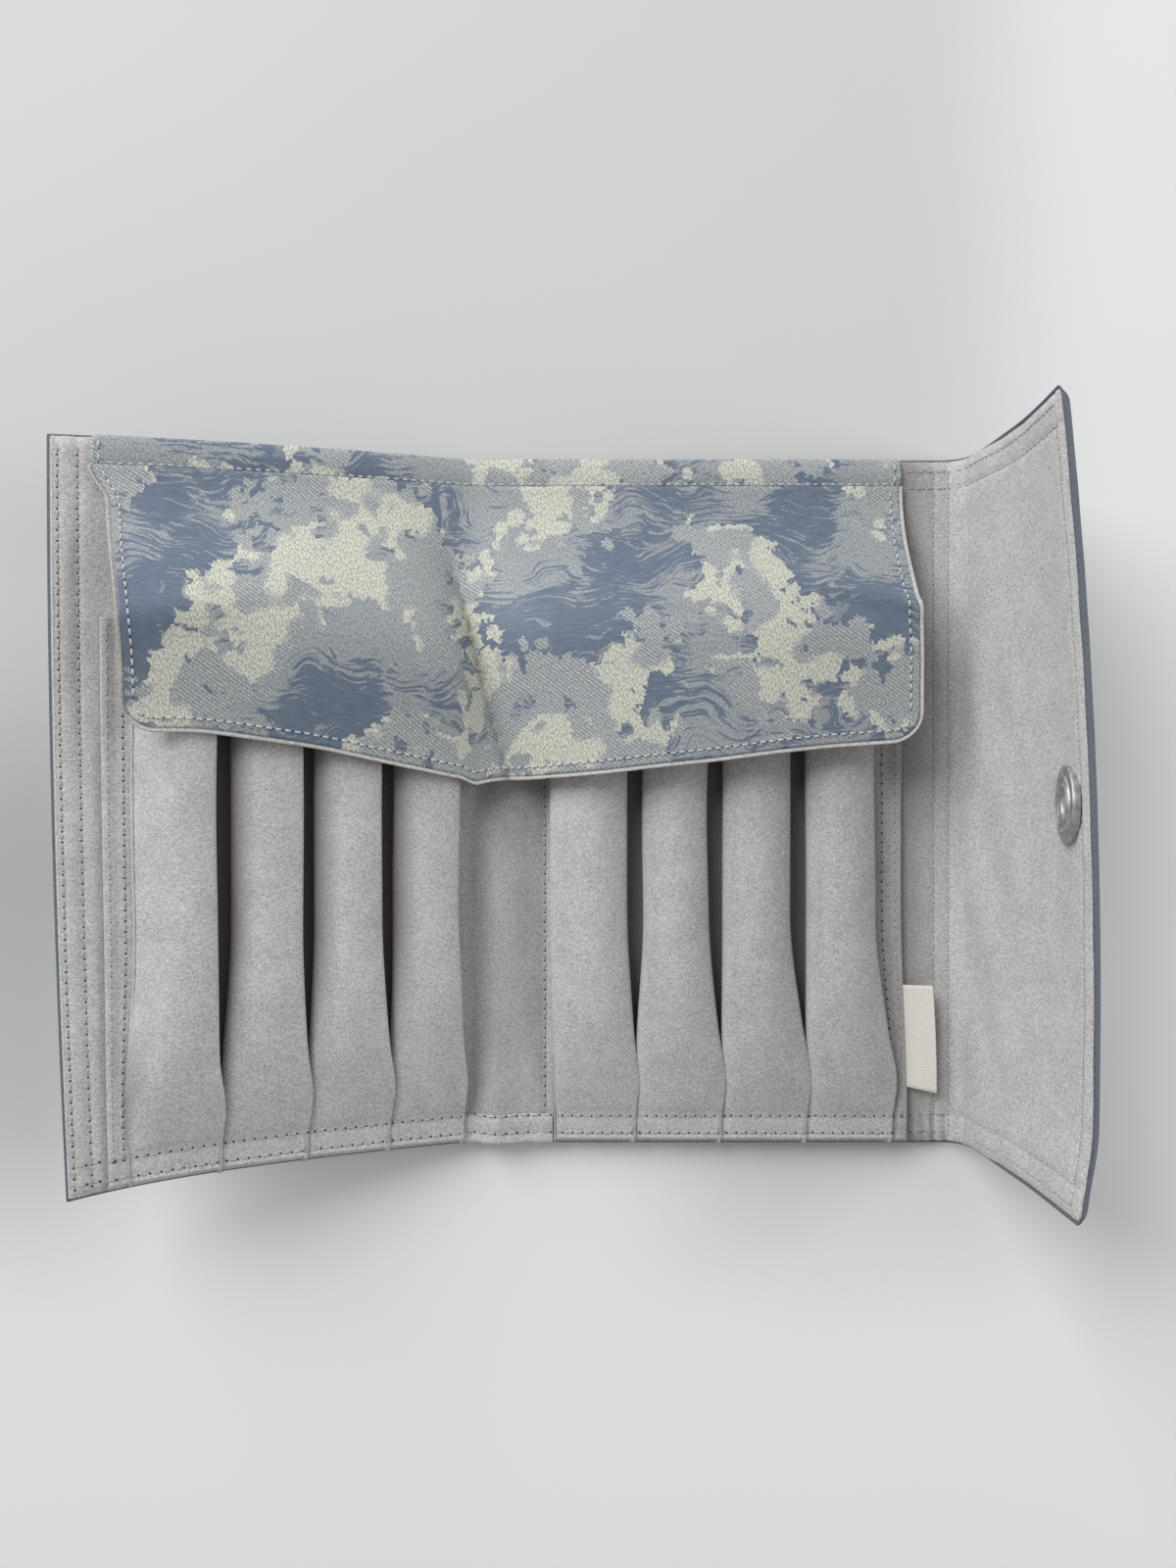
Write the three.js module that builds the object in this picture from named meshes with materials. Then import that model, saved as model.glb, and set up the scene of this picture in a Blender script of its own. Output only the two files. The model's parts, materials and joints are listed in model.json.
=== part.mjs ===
// Pen pouch: a fold-over wrap that holds eight pens, shown lying open.
// Units are millimetres, +Z is up, +X runs across the open wrap and +Y towards its top edge.
// The origin is the centre of the right panel's underside, which lies flat on the table.
import * as THREE from 'three';

// Overall sizes of the wrap, measured flat
const caseHeight = 185;
const rightPanelWidth = 111;
const spineWidth = 21.5;
const closingFlapWidth = 33;

// Layers of every panel, from the outside in
const coverThickness = 0.9;
const stiffenerThickness = 1.2;
const liningThickness = 0.9;
const layerGap = 0.3;
const stiffenerMargin = 4;
const liningInset = 0.5;
const foldGap = 0.6;

// How the wrap lies open: tilt of the left panel and of the two parts of the closing flap
const leftTilt = 18.5;
const gussetTilt = 78;
const closingFlapTilt = 7;

// Pen sleeves
const sleevesPerSide = 4;
const sleevePitch = 21.2;
const sleeveHeight = 8.6;
const sleeveWall = 0.9;
const valleyWidth = 3;
const valleyFloorWidth = 0.7;
const sleeveMouthFromTop = 45;
const firstSleeveFromFold = 2.6;
const sleeveRollRadius = 4.2;
const sleeveCreaseRadius = 1.1;
const sleeveFlatHeight = 2;
const pocketBorderWidth = 7.4;

// Where a sleeve's sections lie along it, and where it starts to widen and to flatten, as shares of
// its length from mouth to hem
const sleeveSections = [0, 0.2, 0.45, 0.62, 0.74, 0.84, 0.93, 1];
const wideningStart = 0.6;
const wideningEnd = 0.92;
const flatteningStart = 0.62;

// Hem along the bottom edge and brocade band along the top edge
const hemHeight = 7;
const hemThickness = 1.2;
const bandHeight = 7;
const bandThickness = 1.4;

// Pen flap that is sewn to the band and lies over the sleeves' mouths
const penFlapLength = 78;
const penFlapMiddleLength = 83;
const penFlapCoverThickness = 0.6;
const penFlapLiningThickness = 0.5;
const penFlapFlatStart = 8;
const penFlapFoldInset = 4.5;
const penFlapMiddleInset = 2;
const penFlapCornerRadius = 7;

// Where the pen flap's grid has its lines: across the straight part, round the corner, and the last
// row before the free edge, as shares of each
const penFlapAcross = [0, 0.5, 1];
const penFlapRound = [0.25, 0.5, 0.75, 0.92];
const penFlapLastRow = 0.72;

// Woven label tab
const tabWidth = 8;
const tabLength = 27;
const tabThickness = 0.6;
const tabFromBottom = 16;

// Magnetic snap: socket on the closing flap, stud on the left panel's outer face
const snapFromFreeEdge = 12;
const studFromLeftEdge = 13.5;
const socketRadius = 8.5;
const socketThickness = 1.2;
const recessRadius = 3.2;
const recessDepth = 0.9;
const shankRadius = 1.8;
const shankClearance = 0.3;
const capRadius = 5.5;
const capThickness = 1.2;
const studBaseRadius = 6;
const studBaseThickness = 0.5;
const postRadius = 2.4;
const postReach = 0.6;
const washerRadius = 6;
const washerThickness = 0.6;
const snapClearance = 0.4;
const edgeBevel = 0.5;

// Straight steps in a quarter or a whole of each round shape
const rollSteps = 5;
const creaseSteps = 2;
const holeSteps = 16;
const turnedSteps = 32;

// Heights in a panel's own frame, where the lining's inner face is at zero
const liningLow = -liningThickness;
const stiffenerHigh = liningLow - layerGap;
const stiffenerLow = stiffenerHigh - stiffenerThickness;
const coverHigh = stiffenerLow - layerGap;
const coverLow = coverHigh - coverThickness;
const panelThickness = -coverLow;
const seat = layerGap;

// Edges and lines shared by all panels
const top = caseHeight / 2;
const bottom = -caseHeight / 2;
const hemTop = bottom + liningInset + hemHeight;
const seamY = top - liningInset - bandHeight;
const mouthY = top - sleeveMouthFromTop;
const bandTop = seat + bandThickness;
const hemFace = seat + hemThickness;
const foldInset = Math.max(bandTop, hemFace) + layerGap;
const sleeveGroupWidth = sleevesPerSide * sleevePitch;
const pocketEdge = firstSleeveFromFold + sleeveGroupWidth + layerGap + pocketBorderWidth;
const snapStack = seat + studBaseThickness + snapClearance + socketThickness + seat;
const gussetWidth = spineWidth + panelThickness + snapStack;
const snapFromFold = closingFlapWidth - snapFromFreeEdge;
const studFromFold = rightPanelWidth - snapFromFold;

// The left panel closes over the right one and reaches past the stud that the socket meets there
const leftPanelWidth = studFromFold + studFromLeftEdge;

const colours = {
  brocade: { color: 0x7f96bd, roughness: 0.5, metalness: 0 },
  suede: { color: 0xb9b6b2, roughness: 0.95, metalness: 0 },
  board: { color: 0x8f8a80, roughness: 0.9, metalness: 0 },
  label: { color: 0xe9e4d6, roughness: 0.8, metalness: 0 },
  metal: { color: 0x8d8f92, roughness: 0.35, metalness: 1 },
};

function addPiece(group, name, geometry, finish) {
  const mesh = new THREE.Mesh(geometry, new THREE.MeshStandardMaterial(colours[finish]));
  mesh.name = name;
  group.add(mesh);
}

// Flat plate between two x and two y edges, with optional round holes given as x, y and radius
function plate(xLow, xHigh, yLow, yHigh, zLow, zHigh, holes = []) {
  const outline = new THREE.Shape();
  outline.moveTo(xLow, yLow);
  outline.lineTo(xHigh, yLow);
  outline.lineTo(xHigh, yHigh);
  outline.lineTo(xLow, yHigh);
  outline.closePath();
  for (const hole of holes) {
    const ring = new THREE.Path();
    ring.absarc(hole.x, hole.y, hole.radius, 0, 2 * Math.PI, true);
    outline.holes.push(ring);
  }
  const geometry = new THREE.ExtrudeGeometry(outline, {
    depth: zHigh - zLow,
    bevelEnabled: false,
    curveSegments: holeSteps,
  });
  geometry.translate(0, 0, zLow);
  return geometry;
}

// Turned piece from points of radius and height, its axis along z
function turned(profile) {
  const points = profile.map(([radius, height]) => new THREE.Vector2(radius, height));
  const geometry = new THREE.LatheGeometry(points, turnedSteps);
  geometry.rotateX(Math.PI / 2);
  return geometry;
}

// Closed wall between a lower and an upper grid of points of the same size. Rows run towards -y and
// columns towards +x; where the columns run towards -x, the two grids change places.
function wallBetween(lower, upper) {
  const rows = lower.length;
  const columns = lower[0].length;
  const positions = [];
  const indices = [];
  for (const grid of [lower, upper]) {
    for (const row of grid) {
      for (const point of row) {
        positions.push(...point);
      }
    }
  }
  const lowerAt = (row, column) => row * columns + column;
  const upperAt = (row, column) => rows * columns + row * columns + column;
  const quad = (a, b, c, d) => indices.push(a, b, c, a, c, d);
  const lastRow = rows - 1;
  const lastColumn = columns - 1;
  for (let row = 0; row < lastRow; row += 1) {
    const next = row + 1;
    for (let column = 0; column < lastColumn; column += 1) {
      const beside = column + 1;
      quad(lowerAt(row, column), lowerAt(row, beside), lowerAt(next, beside), lowerAt(next, column));
      quad(upperAt(row, column), upperAt(next, column), upperAt(next, beside), upperAt(row, beside));
    }
    quad(lowerAt(row, 0), lowerAt(next, 0), upperAt(next, 0), upperAt(row, 0));
    quad(lowerAt(next, lastColumn), lowerAt(row, lastColumn),
      upperAt(row, lastColumn), upperAt(next, lastColumn));
  }
  for (let column = 0; column < lastColumn; column += 1) {
    const beside = column + 1;
    quad(lowerAt(0, beside), lowerAt(0, column), upperAt(0, column), upperAt(0, beside));
    quad(lowerAt(lastRow, column), lowerAt(lastRow, beside),
      upperAt(lastRow, beside), upperAt(lastRow, column));
  }
  const geometry = new THREE.BufferGeometry();
  geometry.setAttribute('position', new THREE.Float32BufferAttribute(positions, 3));
  geometry.setIndex(indices);
  geometry.computeVertexNormals();
  return geometry;
}

function smoothStep(low, high, value) {
  return THREE.MathUtils.smoothstep(value, low, high);
}

// Arch from foot to foot: a round shoulder on the left, a crisp one on the right
function archPoints(left, right, base, crest, rollRadius, creaseRadius) {
  const rise = crest - base;
  const half = (right - left) / 2;
  const roll = Math.min(rollRadius, rise, half);
  const crease = Math.min(creaseRadius, rise, half);
  const points = [[left, base]];
  for (let step = 0; step <= rollSteps; step += 1) {
    const angle = (step / rollSteps) * Math.PI / 2;
    points.push([left + roll * (1 - Math.cos(angle)), crest - roll * (1 - Math.sin(angle))]);
  }
  for (let step = 0; step <= creaseSteps; step += 1) {
    const angle = (step / creaseSteps) * Math.PI / 2;
    points.push([right - crease * (1 - Math.sin(angle)), crest - crease * (1 - Math.cos(angle))]);
  }
  points.push([right, base]);
  return points;
}

// One pen sleeve from its mouth down to the hem: an arch of cloth with a narrow foot on each side,
// which keeps its height for most of its length, then widens and flattens into the hem
function sleeve(leftEdge) {
  const low = hemTop + layerGap;
  const outer = [];
  const inner = [];
  for (const share of sleeveSections) {
    const y = mouthY + (low - mouthY) * share;
    const gapLeft = 1 - smoothStep(wideningStart, wideningEnd, share);
    const riseLeft = 1 - smoothStep(flatteningStart, 1, share);
    const margin = valleyFloorWidth / 2 + gapLeft * (valleyWidth - valleyFloorWidth) / 2;
    const height = sleeveFlatHeight + riseLeft * (sleeveHeight - sleeveFlatHeight);
    const left = leftEdge + margin;
    const right = leftEdge + sleevePitch - margin;
    const footLeft = leftEdge + layerGap / 2;
    const footRight = leftEdge + sleevePitch - layerGap / 2;
    const outerRow = archPoints(left, right, seat + sleeveWall, height,
      sleeveRollRadius, sleeveCreaseRadius);
    const innerRow = archPoints(left + sleeveWall, right - sleeveWall, seat, height - sleeveWall,
      sleeveRollRadius - sleeveWall, sleeveCreaseRadius - sleeveWall);
    const place = ([x, z]) => [x, y, z];
    outer.push([[footLeft, seat + sleeveWall], ...outerRow, [footRight, seat + sleeveWall]].map(place));
    inner.push([[footLeft, seat], ...innerRow, [footRight, seat]].map(place));
  }
  return wallBetween(inner, outer);
}

// Rise of the pen flap's upper face above its seam: flat over the band's width, then up a slope
// to the sleeves' crests
function penFlapRise(fromSeam) {
  const crest = sleeveHeight + layerGap + penFlapLiningThickness + layerGap + penFlapCoverThickness;
  const slopeEnd = seamY - mouthY;
  const share = THREE.MathUtils.clamp((fromSeam - penFlapFlatStart) / (slopeEnd - penFlapFlatStart), 0, 1);
  return share * (crest - bandTop);
}

// One cloth layer of a pen flap half: a sheet that follows the rise, with one rounded corner at the
// free end, on the side away from the fold
function penFlapHalf(foldSide, outerSide, below, thickness) {
  const rows = [0, penFlapFlatStart, seamY - mouthY, penFlapLength * penFlapLastRow, penFlapLength];
  const direction = Math.sign(outerSide - foldSide);
  const corner = outerSide - direction * penFlapCornerRadius;
  const straight = penFlapAcross.map((share) => foldSide + share * (corner - foldSide));
  const round = penFlapRound.map((share) => corner + share * (outerSide - corner));
  const xs = [...straight, ...round, outerSide];
  const upper = [];
  const lower = [];
  for (const row of rows) {
    const upperRow = [];
    const lowerRow = [];
    for (const x of xs) {
      const past = Math.max(0, (x - corner) * direction) / penFlapCornerRadius;
      const trim = penFlapCornerRadius * (1 - Math.sqrt(Math.max(0, 1 - past * past)));
      const fromSeam = Math.min(row, penFlapLength - trim * (row / penFlapLength));
      const z = bandTop + penFlapRise(fromSeam) - below;
      const y = seamY - layerGap - fromSeam;
      upperRow.push([x, y, z]);
      lowerRow.push([x, y, z - thickness]);
    }
    upper.push(upperRow);
    lower.push(lowerRow);
  }
  return direction > 0 ? wallBetween(lower, upper) : wallBetween(upper, lower);
}

// Cover, board and lining of one stiff panel between two x edges
function addPanelLayers(group, suffix, xLow, xHigh, holes) {
  addPiece(group, `cover_${suffix}`,
    plate(xLow, xHigh, bottom, top, coverLow, coverHigh, holes.cover), 'brocade');
  addPiece(group, `stiffener_${suffix}`,
    plate(xLow + stiffenerMargin, xHigh - stiffenerMargin, bottom + stiffenerMargin,
      top - stiffenerMargin, stiffenerLow, stiffenerHigh, holes.stiffener), 'board');
  addPiece(group, `lining_${suffix}`,
    plate(xLow, xHigh, bottom + liningInset, top - liningInset, liningLow, 0, holes.lining), 'suede');
}

// Soft strip with no board, so its cover lies against its lining
function addSoftStrip(group, suffix, xLow, xHigh) {
  const softCoverHigh = liningLow - layerGap;
  addPiece(group, `cover_${suffix}`,
    plate(xLow, xHigh, bottom, top, softCoverHigh - coverThickness, softCoverHigh), 'brocade');
  addPiece(group, `lining_${suffix}`,
    plate(xLow, xHigh, bottom + liningInset, top - liningInset, liningLow, 0), 'suede');
}

// The hem and the band end short of each fold line by their own height, so a fold can close to a right
// angle
function addHemAndBand(group, suffix, hemLow, hemHigh, bandLow, bandHigh) {
  addPiece(group, `hem_${suffix}`,
    plate(hemLow, hemHigh, bottom + liningInset, hemTop, seat, hemFace), 'suede');
  addPiece(group, `top_band_${suffix}`,
    plate(bandLow, bandHigh, seamY, top - liningInset, seat, bandTop), 'brocade');
}

function addSleeves(group, firstLeftEdge, firstNumber) {
  for (let index = 0; index < sleevesPerSide; index += 1) {
    const edge = firstLeftEdge + index * sleevePitch;
    addPiece(group, `pen_sleeve_${firstNumber + index}`, sleeve(edge), 'suede');
  }
}

function addPenFlapHalf(group, suffix, foldSide, outerSide) {
  addPiece(group, `pen_flap_cover_${suffix}`,
    penFlapHalf(foldSide, outerSide, 0, penFlapCoverThickness), 'brocade');
  addPiece(group, `pen_flap_lining_${suffix}`,
    penFlapHalf(foldSide, outerSide, penFlapCoverThickness + layerGap, penFlapLiningThickness), 'suede');
}

function addRightPanel(group) {
  const fold = -rightPanelWidth / 2;
  const hinge = rightPanelWidth / 2;
  const xLow = fold + foldGap / 2;
  const xHigh = hinge - foldGap / 2;
  const sleevesStart = fold + firstSleeveFromFold;
  const sleevesEnd = sleevesStart + sleeveGroupWidth;
  const pocketSide = fold + pocketEdge;
  addPanelLayers(group, 'right', xLow, xHigh, {});
  addSleeves(group, sleevesStart, sleevesPerSide + 1);
  addPiece(group, 'pocket_border_right',
    plate(sleevesEnd + layerGap, pocketSide, hemTop + layerGap, mouthY, seat, seat + sleeveWall), 'suede');
  addHemAndBand(group, 'right', fold + foldInset, xHigh, fold + foldInset, pocketSide);
  addPenFlapHalf(group, 'right', fold + penFlapFoldInset, pocketSide);
  const tabLow = bottom + tabFromBottom;
  const tabStart = pocketSide + layerGap;
  addPiece(group, 'label_tab',
    plate(tabStart, tabStart + tabWidth, tabLow, tabLow + tabLength, seat, seat + tabThickness), 'label');
}

// The spine's own frame has its right fold line at x zero
function addSpine(group) {
  const xLow = -spineWidth + foldGap / 2;
  const xHigh = -foldGap / 2;
  addSoftStrip(group, 'spine', xLow, xHigh);
  const trimLow = -spineWidth + foldInset;
  addHemAndBand(group, 'spine', trimLow, -foldInset, trimLow, -foldInset);
  const flapLow = -spineWidth + penFlapMiddleInset;
  const flapHigh = -penFlapMiddleInset;
  const flapTop = seamY - layerGap;
  const flapEnd = flapTop - penFlapMiddleLength;
  const coverBase = bandTop - penFlapCoverThickness;
  const liningTop = coverBase - layerGap;
  addPiece(group, 'pen_flap_cover_mid',
    plate(flapLow, flapHigh, flapEnd, flapTop, coverBase, bandTop), 'brocade');
  addPiece(group, 'pen_flap_lining_mid',
    plate(flapLow, flapHigh, flapEnd, flapTop, liningTop - penFlapLiningThickness, liningTop), 'suede');
}

// The left panel's own frame has its fold line at x zero, and the panel runs to -x
function addLeftPanel(group) {
  const xLow = -leftPanelWidth;
  const xHigh = -foldGap / 2;
  const sleevesEnd = -firstSleeveFromFold;
  const sleevesStart = sleevesEnd - sleeveGroupWidth;
  const pocketSide = -pocketEdge;
  const studHole = { x: -studFromFold, y: 0, radius: shankRadius + shankClearance };
  const washerHole = { x: -studFromFold, y: 0, radius: washerRadius + shankClearance };
  addPanelLayers(group, 'left', xLow, xHigh, { cover: [studHole], stiffener: [washerHole] });
  addSleeves(group, sleevesStart, 1);
  addPiece(group, 'pocket_border_left',
    plate(pocketSide, sleevesStart - layerGap, hemTop + layerGap, mouthY, seat, seat + sleeveWall), 'suede');
  addHemAndBand(group, 'left', xLow + layerGap, -foldInset, pocketSide, -foldInset);
  addPenFlapHalf(group, 'left', -penFlapFoldInset, pocketSide);
  const baseHigh = coverLow - seat;
  const baseLow = baseHigh - studBaseThickness;
  const postLow = baseLow - snapClearance - postReach;
  const washerLow = coverHigh + seat;
  const stud = turned([
    [0, postLow],
    [postRadius, postLow],
    [postRadius, baseLow],
    [studBaseRadius, baseLow],
    [studBaseRadius, baseHigh],
    [shankRadius, baseHigh],
    [shankRadius, coverHigh],
    [0, coverHigh],
  ]);
  stud.translate(-studFromFold, 0, 0);
  addPiece(group, 'snap_stud', stud, 'metal');
  const washer = turned([
    [0, washerLow],
    [washerRadius, washerLow],
    [washerRadius, washerLow + washerThickness],
    [0, washerLow + washerThickness],
  ]);
  washer.translate(-studFromFold, 0, 0);
  addPiece(group, 'snap_stud_washer', washer, 'metal');
}

// The closing flap's own frame has the gusset's upper fold at x zero, and the flap runs to +x
function addClosingFlap(group) {
  const shankHole = { x: snapFromFold, y: 0, radius: shankRadius + shankClearance };
  const holes = [shankHole];
  addPanelLayers(group, 'flap', foldGap / 2, closingFlapWidth, {
    cover: holes, stiffener: holes, lining: holes,
  });
  const face = seat + socketThickness;
  const socket = turned([
    [0, coverLow],
    [shankRadius, coverLow],
    [shankRadius, seat],
    [socketRadius, seat],
    [socketRadius, face - edgeBevel],
    [socketRadius - edgeBevel, face],
    [recessRadius, face],
    [recessRadius, face - recessDepth],
    [0, face - recessDepth],
  ]);
  socket.translate(snapFromFold, 0, 0);
  addPiece(group, 'snap_socket', socket, 'metal');
  const capHigh = coverLow - seat;
  const capLow = capHigh - capThickness;
  const cap = turned([
    [0, capLow],
    [capRadius - 2 * edgeBevel, capLow],
    [capRadius, capLow + edgeBevel],
    [capRadius, capHigh],
    [0, capHigh],
  ]);
  cap.translate(snapFromFold, 0, 0);
  addPiece(group, 'snap_cap', cap, 'metal');
}

const radians = THREE.MathUtils.degToRad;
const pouch = new THREE.Group();

const rightPanel = new THREE.Group();
rightPanel.position.set(0, 0, panelThickness);
pouch.add(rightPanel);
addRightPanel(rightPanel);

const spine = new THREE.Group();
spine.position.set(-rightPanelWidth / 2, 0, 0);
rightPanel.add(spine);
addSpine(spine);

const leftPanel = new THREE.Group();
leftPanel.position.set(-spineWidth, 0, 0);
leftPanel.rotation.y = radians(leftTilt);
spine.add(leftPanel);
addLeftPanel(leftPanel);

const gusset = new THREE.Group();
gusset.position.set(rightPanelWidth / 2, 0, 0);
gusset.rotation.y = -radians(gussetTilt);
rightPanel.add(gusset);
addSoftStrip(gusset, 'gusset', foldGap / 2, gussetWidth - foldGap / 2);

const closingFlap = new THREE.Group();
closingFlap.position.set(gussetWidth, 0, 0);
closingFlap.rotation.y = -radians(closingFlapTilt);
gusset.add(closingFlap);
addClosingFlap(closingFlap);

export default pouch;
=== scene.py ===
"""Pen pouch: an open fold-over wrap for eight pens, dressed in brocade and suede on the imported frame.

Sizes are millimetres in the frame's own axes. They become metres where a mesh, lamp or camera is made.
"""
import json
import math

import bpy
import numpy as np
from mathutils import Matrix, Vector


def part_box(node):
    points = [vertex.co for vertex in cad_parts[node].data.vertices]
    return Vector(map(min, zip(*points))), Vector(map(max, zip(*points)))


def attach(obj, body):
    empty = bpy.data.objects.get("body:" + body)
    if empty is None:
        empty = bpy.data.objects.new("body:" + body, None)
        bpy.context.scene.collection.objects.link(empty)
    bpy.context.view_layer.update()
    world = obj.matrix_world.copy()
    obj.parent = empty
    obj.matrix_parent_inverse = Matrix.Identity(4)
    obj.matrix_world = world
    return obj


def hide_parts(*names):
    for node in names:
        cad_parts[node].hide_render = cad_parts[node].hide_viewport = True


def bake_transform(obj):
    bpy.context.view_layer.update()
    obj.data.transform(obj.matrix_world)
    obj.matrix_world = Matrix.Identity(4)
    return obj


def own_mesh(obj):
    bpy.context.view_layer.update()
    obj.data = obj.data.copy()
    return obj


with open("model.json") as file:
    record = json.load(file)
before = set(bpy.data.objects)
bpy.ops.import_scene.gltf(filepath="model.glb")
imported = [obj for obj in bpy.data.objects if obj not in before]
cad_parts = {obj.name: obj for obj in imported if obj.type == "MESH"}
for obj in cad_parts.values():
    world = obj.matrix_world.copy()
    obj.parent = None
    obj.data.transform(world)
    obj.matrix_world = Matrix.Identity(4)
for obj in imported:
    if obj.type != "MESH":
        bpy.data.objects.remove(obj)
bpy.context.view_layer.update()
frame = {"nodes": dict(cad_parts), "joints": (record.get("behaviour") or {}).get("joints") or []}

MM = 0.001
JOINTS = {joint["name"]: joint for joint in frame["joints"]}


def joint_point(name):
    """Point on a joint's axis at rest, in millimetres."""
    return np.array(JOINTS[name]["pos_m"]) / MM


def node_box(name):
    """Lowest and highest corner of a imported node, in millimetres."""
    low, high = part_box(name)
    return np.array(low) / MM, np.array(high) / MM


# Lines of the open wrap, read from the frame
FOLD_LEFT = joint_point("left_fold")[0]
FOLD_RIGHT, _, FACE = joint_point("spine_fold")
HINGE = joint_point("gusset_fold")[0]
FLAP_CORNER = joint_point("flap_fold")
SEAM = joint_point("pen_flap_lift")[1]
LEFT_AXIS = JOINTS["pen_flap_left_lift"]["axis"]
LEFT_TILT = math.atan2(LEFT_AXIS[2], -LEFT_AXIS[0])
GUSSET_TILT = math.atan2(FLAP_CORNER[2] - FACE, FLAP_CORNER[0] - HINGE)
GUSSET_WIDTH = math.hypot(FLAP_CORNER[2] - FACE, FLAP_CORNER[0] - HINGE)
HALF_HEIGHT = node_box("cover_right")[1][1]
MOUTH = node_box("pen_sleeve_5")[1][1]
HEM_TOP = node_box("hem_right")[1][1]
POCKET_EDGE = node_box("pocket_border_right")[1][0] - FOLD_RIGHT

# Panels and layers
LEFT_WIDTH = 103.5
FLAP_WIDTH = 33
FLAP_TILT = GUSSET_TILT + math.radians(7)
CLOTH = 0.9
COVER_LOW = -FACE
SOFT_COVER_LOW = -2.1
BOARD_MARGIN = 4
BOARD_HIGH = -1.5
BOARD_LOW = -2.5
LINING_INSET = 0.5
LINING_DRAWN = 0.3
COVER_PROUD = 0.8
EDGE_ROLL = 3.4
ROLLED_EDGE = -1.55
ROLLED_CLOTH = 0.55
RIM_TURN = 1.3
FREE_RIM_TURN = -0.35
FREE_CORNER = 3

# The same lines as distances across the wrap, along the lining's inner face
LEFT_EDGE = FOLD_LEFT - LEFT_WIDTH
SPINE_MIDDLE = (FOLD_LEFT + FOLD_RIGHT) / 2
GUSSET_MIDDLE = HINGE + GUSSET_WIDTH / 2
FLAP_FOLD = HINGE + GUSSET_WIDTH
FREE_EDGE = FLAP_FOLD + FLAP_WIDTH
BAND_LEFT = FOLD_LEFT - POCKET_EDGE + 1.2
BAND_RIGHT = FOLD_RIGHT + POCKET_EDGE

# Half width of the bend at each fold, and of the turning between bodies at the spine's folds
LEFT_BEND = 5
HINGE_BEND = 4.5
FLAP_BEND = 10
FOLD_EASE = 3.5

# How the closing flap and the left panel lie. Their shares run on a little past the edge.
FLAP_BOW = 3
FLAP_BOW_CENTRE = -50
FLAP_BOW_REACH = 92
FLAP_LEAN = 1.4
FLAP_CURL = 2.2
FLAP_CURL_START = -72
FLAP_BULGE = 3.5
FLAP_BULGE_POWER = 1.4
FLAP_SHARE_END = 1.02
LEFT_SLIP = 2.5
LEFT_DRAW = 6
LEFT_CURL = 3
LEFT_SHARE_END = 1.1

# Slow waves: how many sines make one, how their lengths vary, and the seed of each cloth's waves
SINES = 4
SINE_STRETCH = (0.7, 1.4)
SEEDS = {"soft strips": 3, "lining": 8, "cover": 5, "band": 21, "spine hem": 14, "pen flap": 90}

# Pen sleeves: edges at the mouth and tuck lines at the hem, from the fold beside each group
RIGHT_SLEEVE_LEFTS = (0.9, 25.7, 46.9, 69)
RIGHT_SLEEVE_RIGHTS = (21.6, 43.2, 65, 87.3)
RIGHT_TUCKS = (1.8, 23.3, 46.5, 69.4, 92.4)
LEFT_SLEEVE_LEFTS = (-85.6, -61.8, -41.2, -21)
LEFT_SLEEVE_RIGHTS = (-65.1, -44.1, -24.2, -3.7)
LEFT_TUCKS = (-88, -64.8, -43.1, -21.9, -1.8)
SLEEVE_CRESTS = {"left": (10.6, 9.3, 9.3, 9.3), "right": (9.3, 9.3, 9.3, 9.3)}
CROWN_FALL = {"left": 0.9, "right": 3}
CROWN_PEAK = {"left": 0.5, "right": 0.38}
HEM_CREST = 2.2
POCKET_FLOOR = 1.25
POCKET_CLOTH = 0.8
SHOULDERS = {"left": (9.5, 5.4, 5.4, 5.4), "right": (5.2, 3.2, 3.2, 3.2)}
CREASE = {"left": 1, "right": 1.6}
EDGE_STEEPNESS = 1.2
SHOULDER_RAMP = {"left": (1, 0, 0, 0), "right": (0, 0, 0, 0)}
HEM_CREASE = 0.3
UNDERCUT = 1.5
HEM_UNDERCUT = 0.1
PLEAT_DEPTH = 2.4
PLEAT_BEND = 1.2
PLEAT_BEND_AT = 0.92
PLEAT_BEND_WIDTH = 0.06
BELLY = 0.4
HEM_BELLY = 0.05
TUCK_DEPTH = 1.3
TUCK_OVERLAP = 0.5
HEM_ROWS = (-84.6, -89.2)

# Going down a sleeve, by its share from mouth to hem: where it flattens and where its edges swing over
FLATTENS_FROM = 0.68
SWING = (0.58, 0.95)
WOBBLE = 0.45
LEFT_WOBBLE = 0.6
WOBBLE_LENGTH = 62
WOBBLE_FADE = (0.85, 1)
CREST_WAVE = 0.28
CREST_WAVE_LENGTH = 45
CREST_SEED_STEP = 10

# Painted shade in the slots between sleeves, by the height on the sleeve, and the painted shade that fades
# beyond them
SLOT_SHADE_FLOOR = 0.1
SLOT_SHADE = {"left": 0.95, "right": 0.72}
HEM_SLOT_SHADE = 0.4
SLOT_SHADE_FADE = {"left": 0.9, "right": 0.2}
SLOT_SHADE_FADE_WIDTH = 6.5
# Painted shade of the group's two outer sides near the hem
OUTER_PAINTED_SHADE = 0.8
OUTER_PAINTED_SHADE_RISE = (0.72, 0.95)
OUTER_PAINTED_SHADE_LOSS = 0.6
OUTER_PAINTED_SHADE_FALL = (0.96, 1)

# Lower end of a pocket cloth: its lift there, the roll down to it, and where its painted shade fades
POCKET_END_LIFT = 0.5
POCKET_END_ROLL = 1.1
POCKET_END_SHADE_FADE = (0.8, 2)

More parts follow.
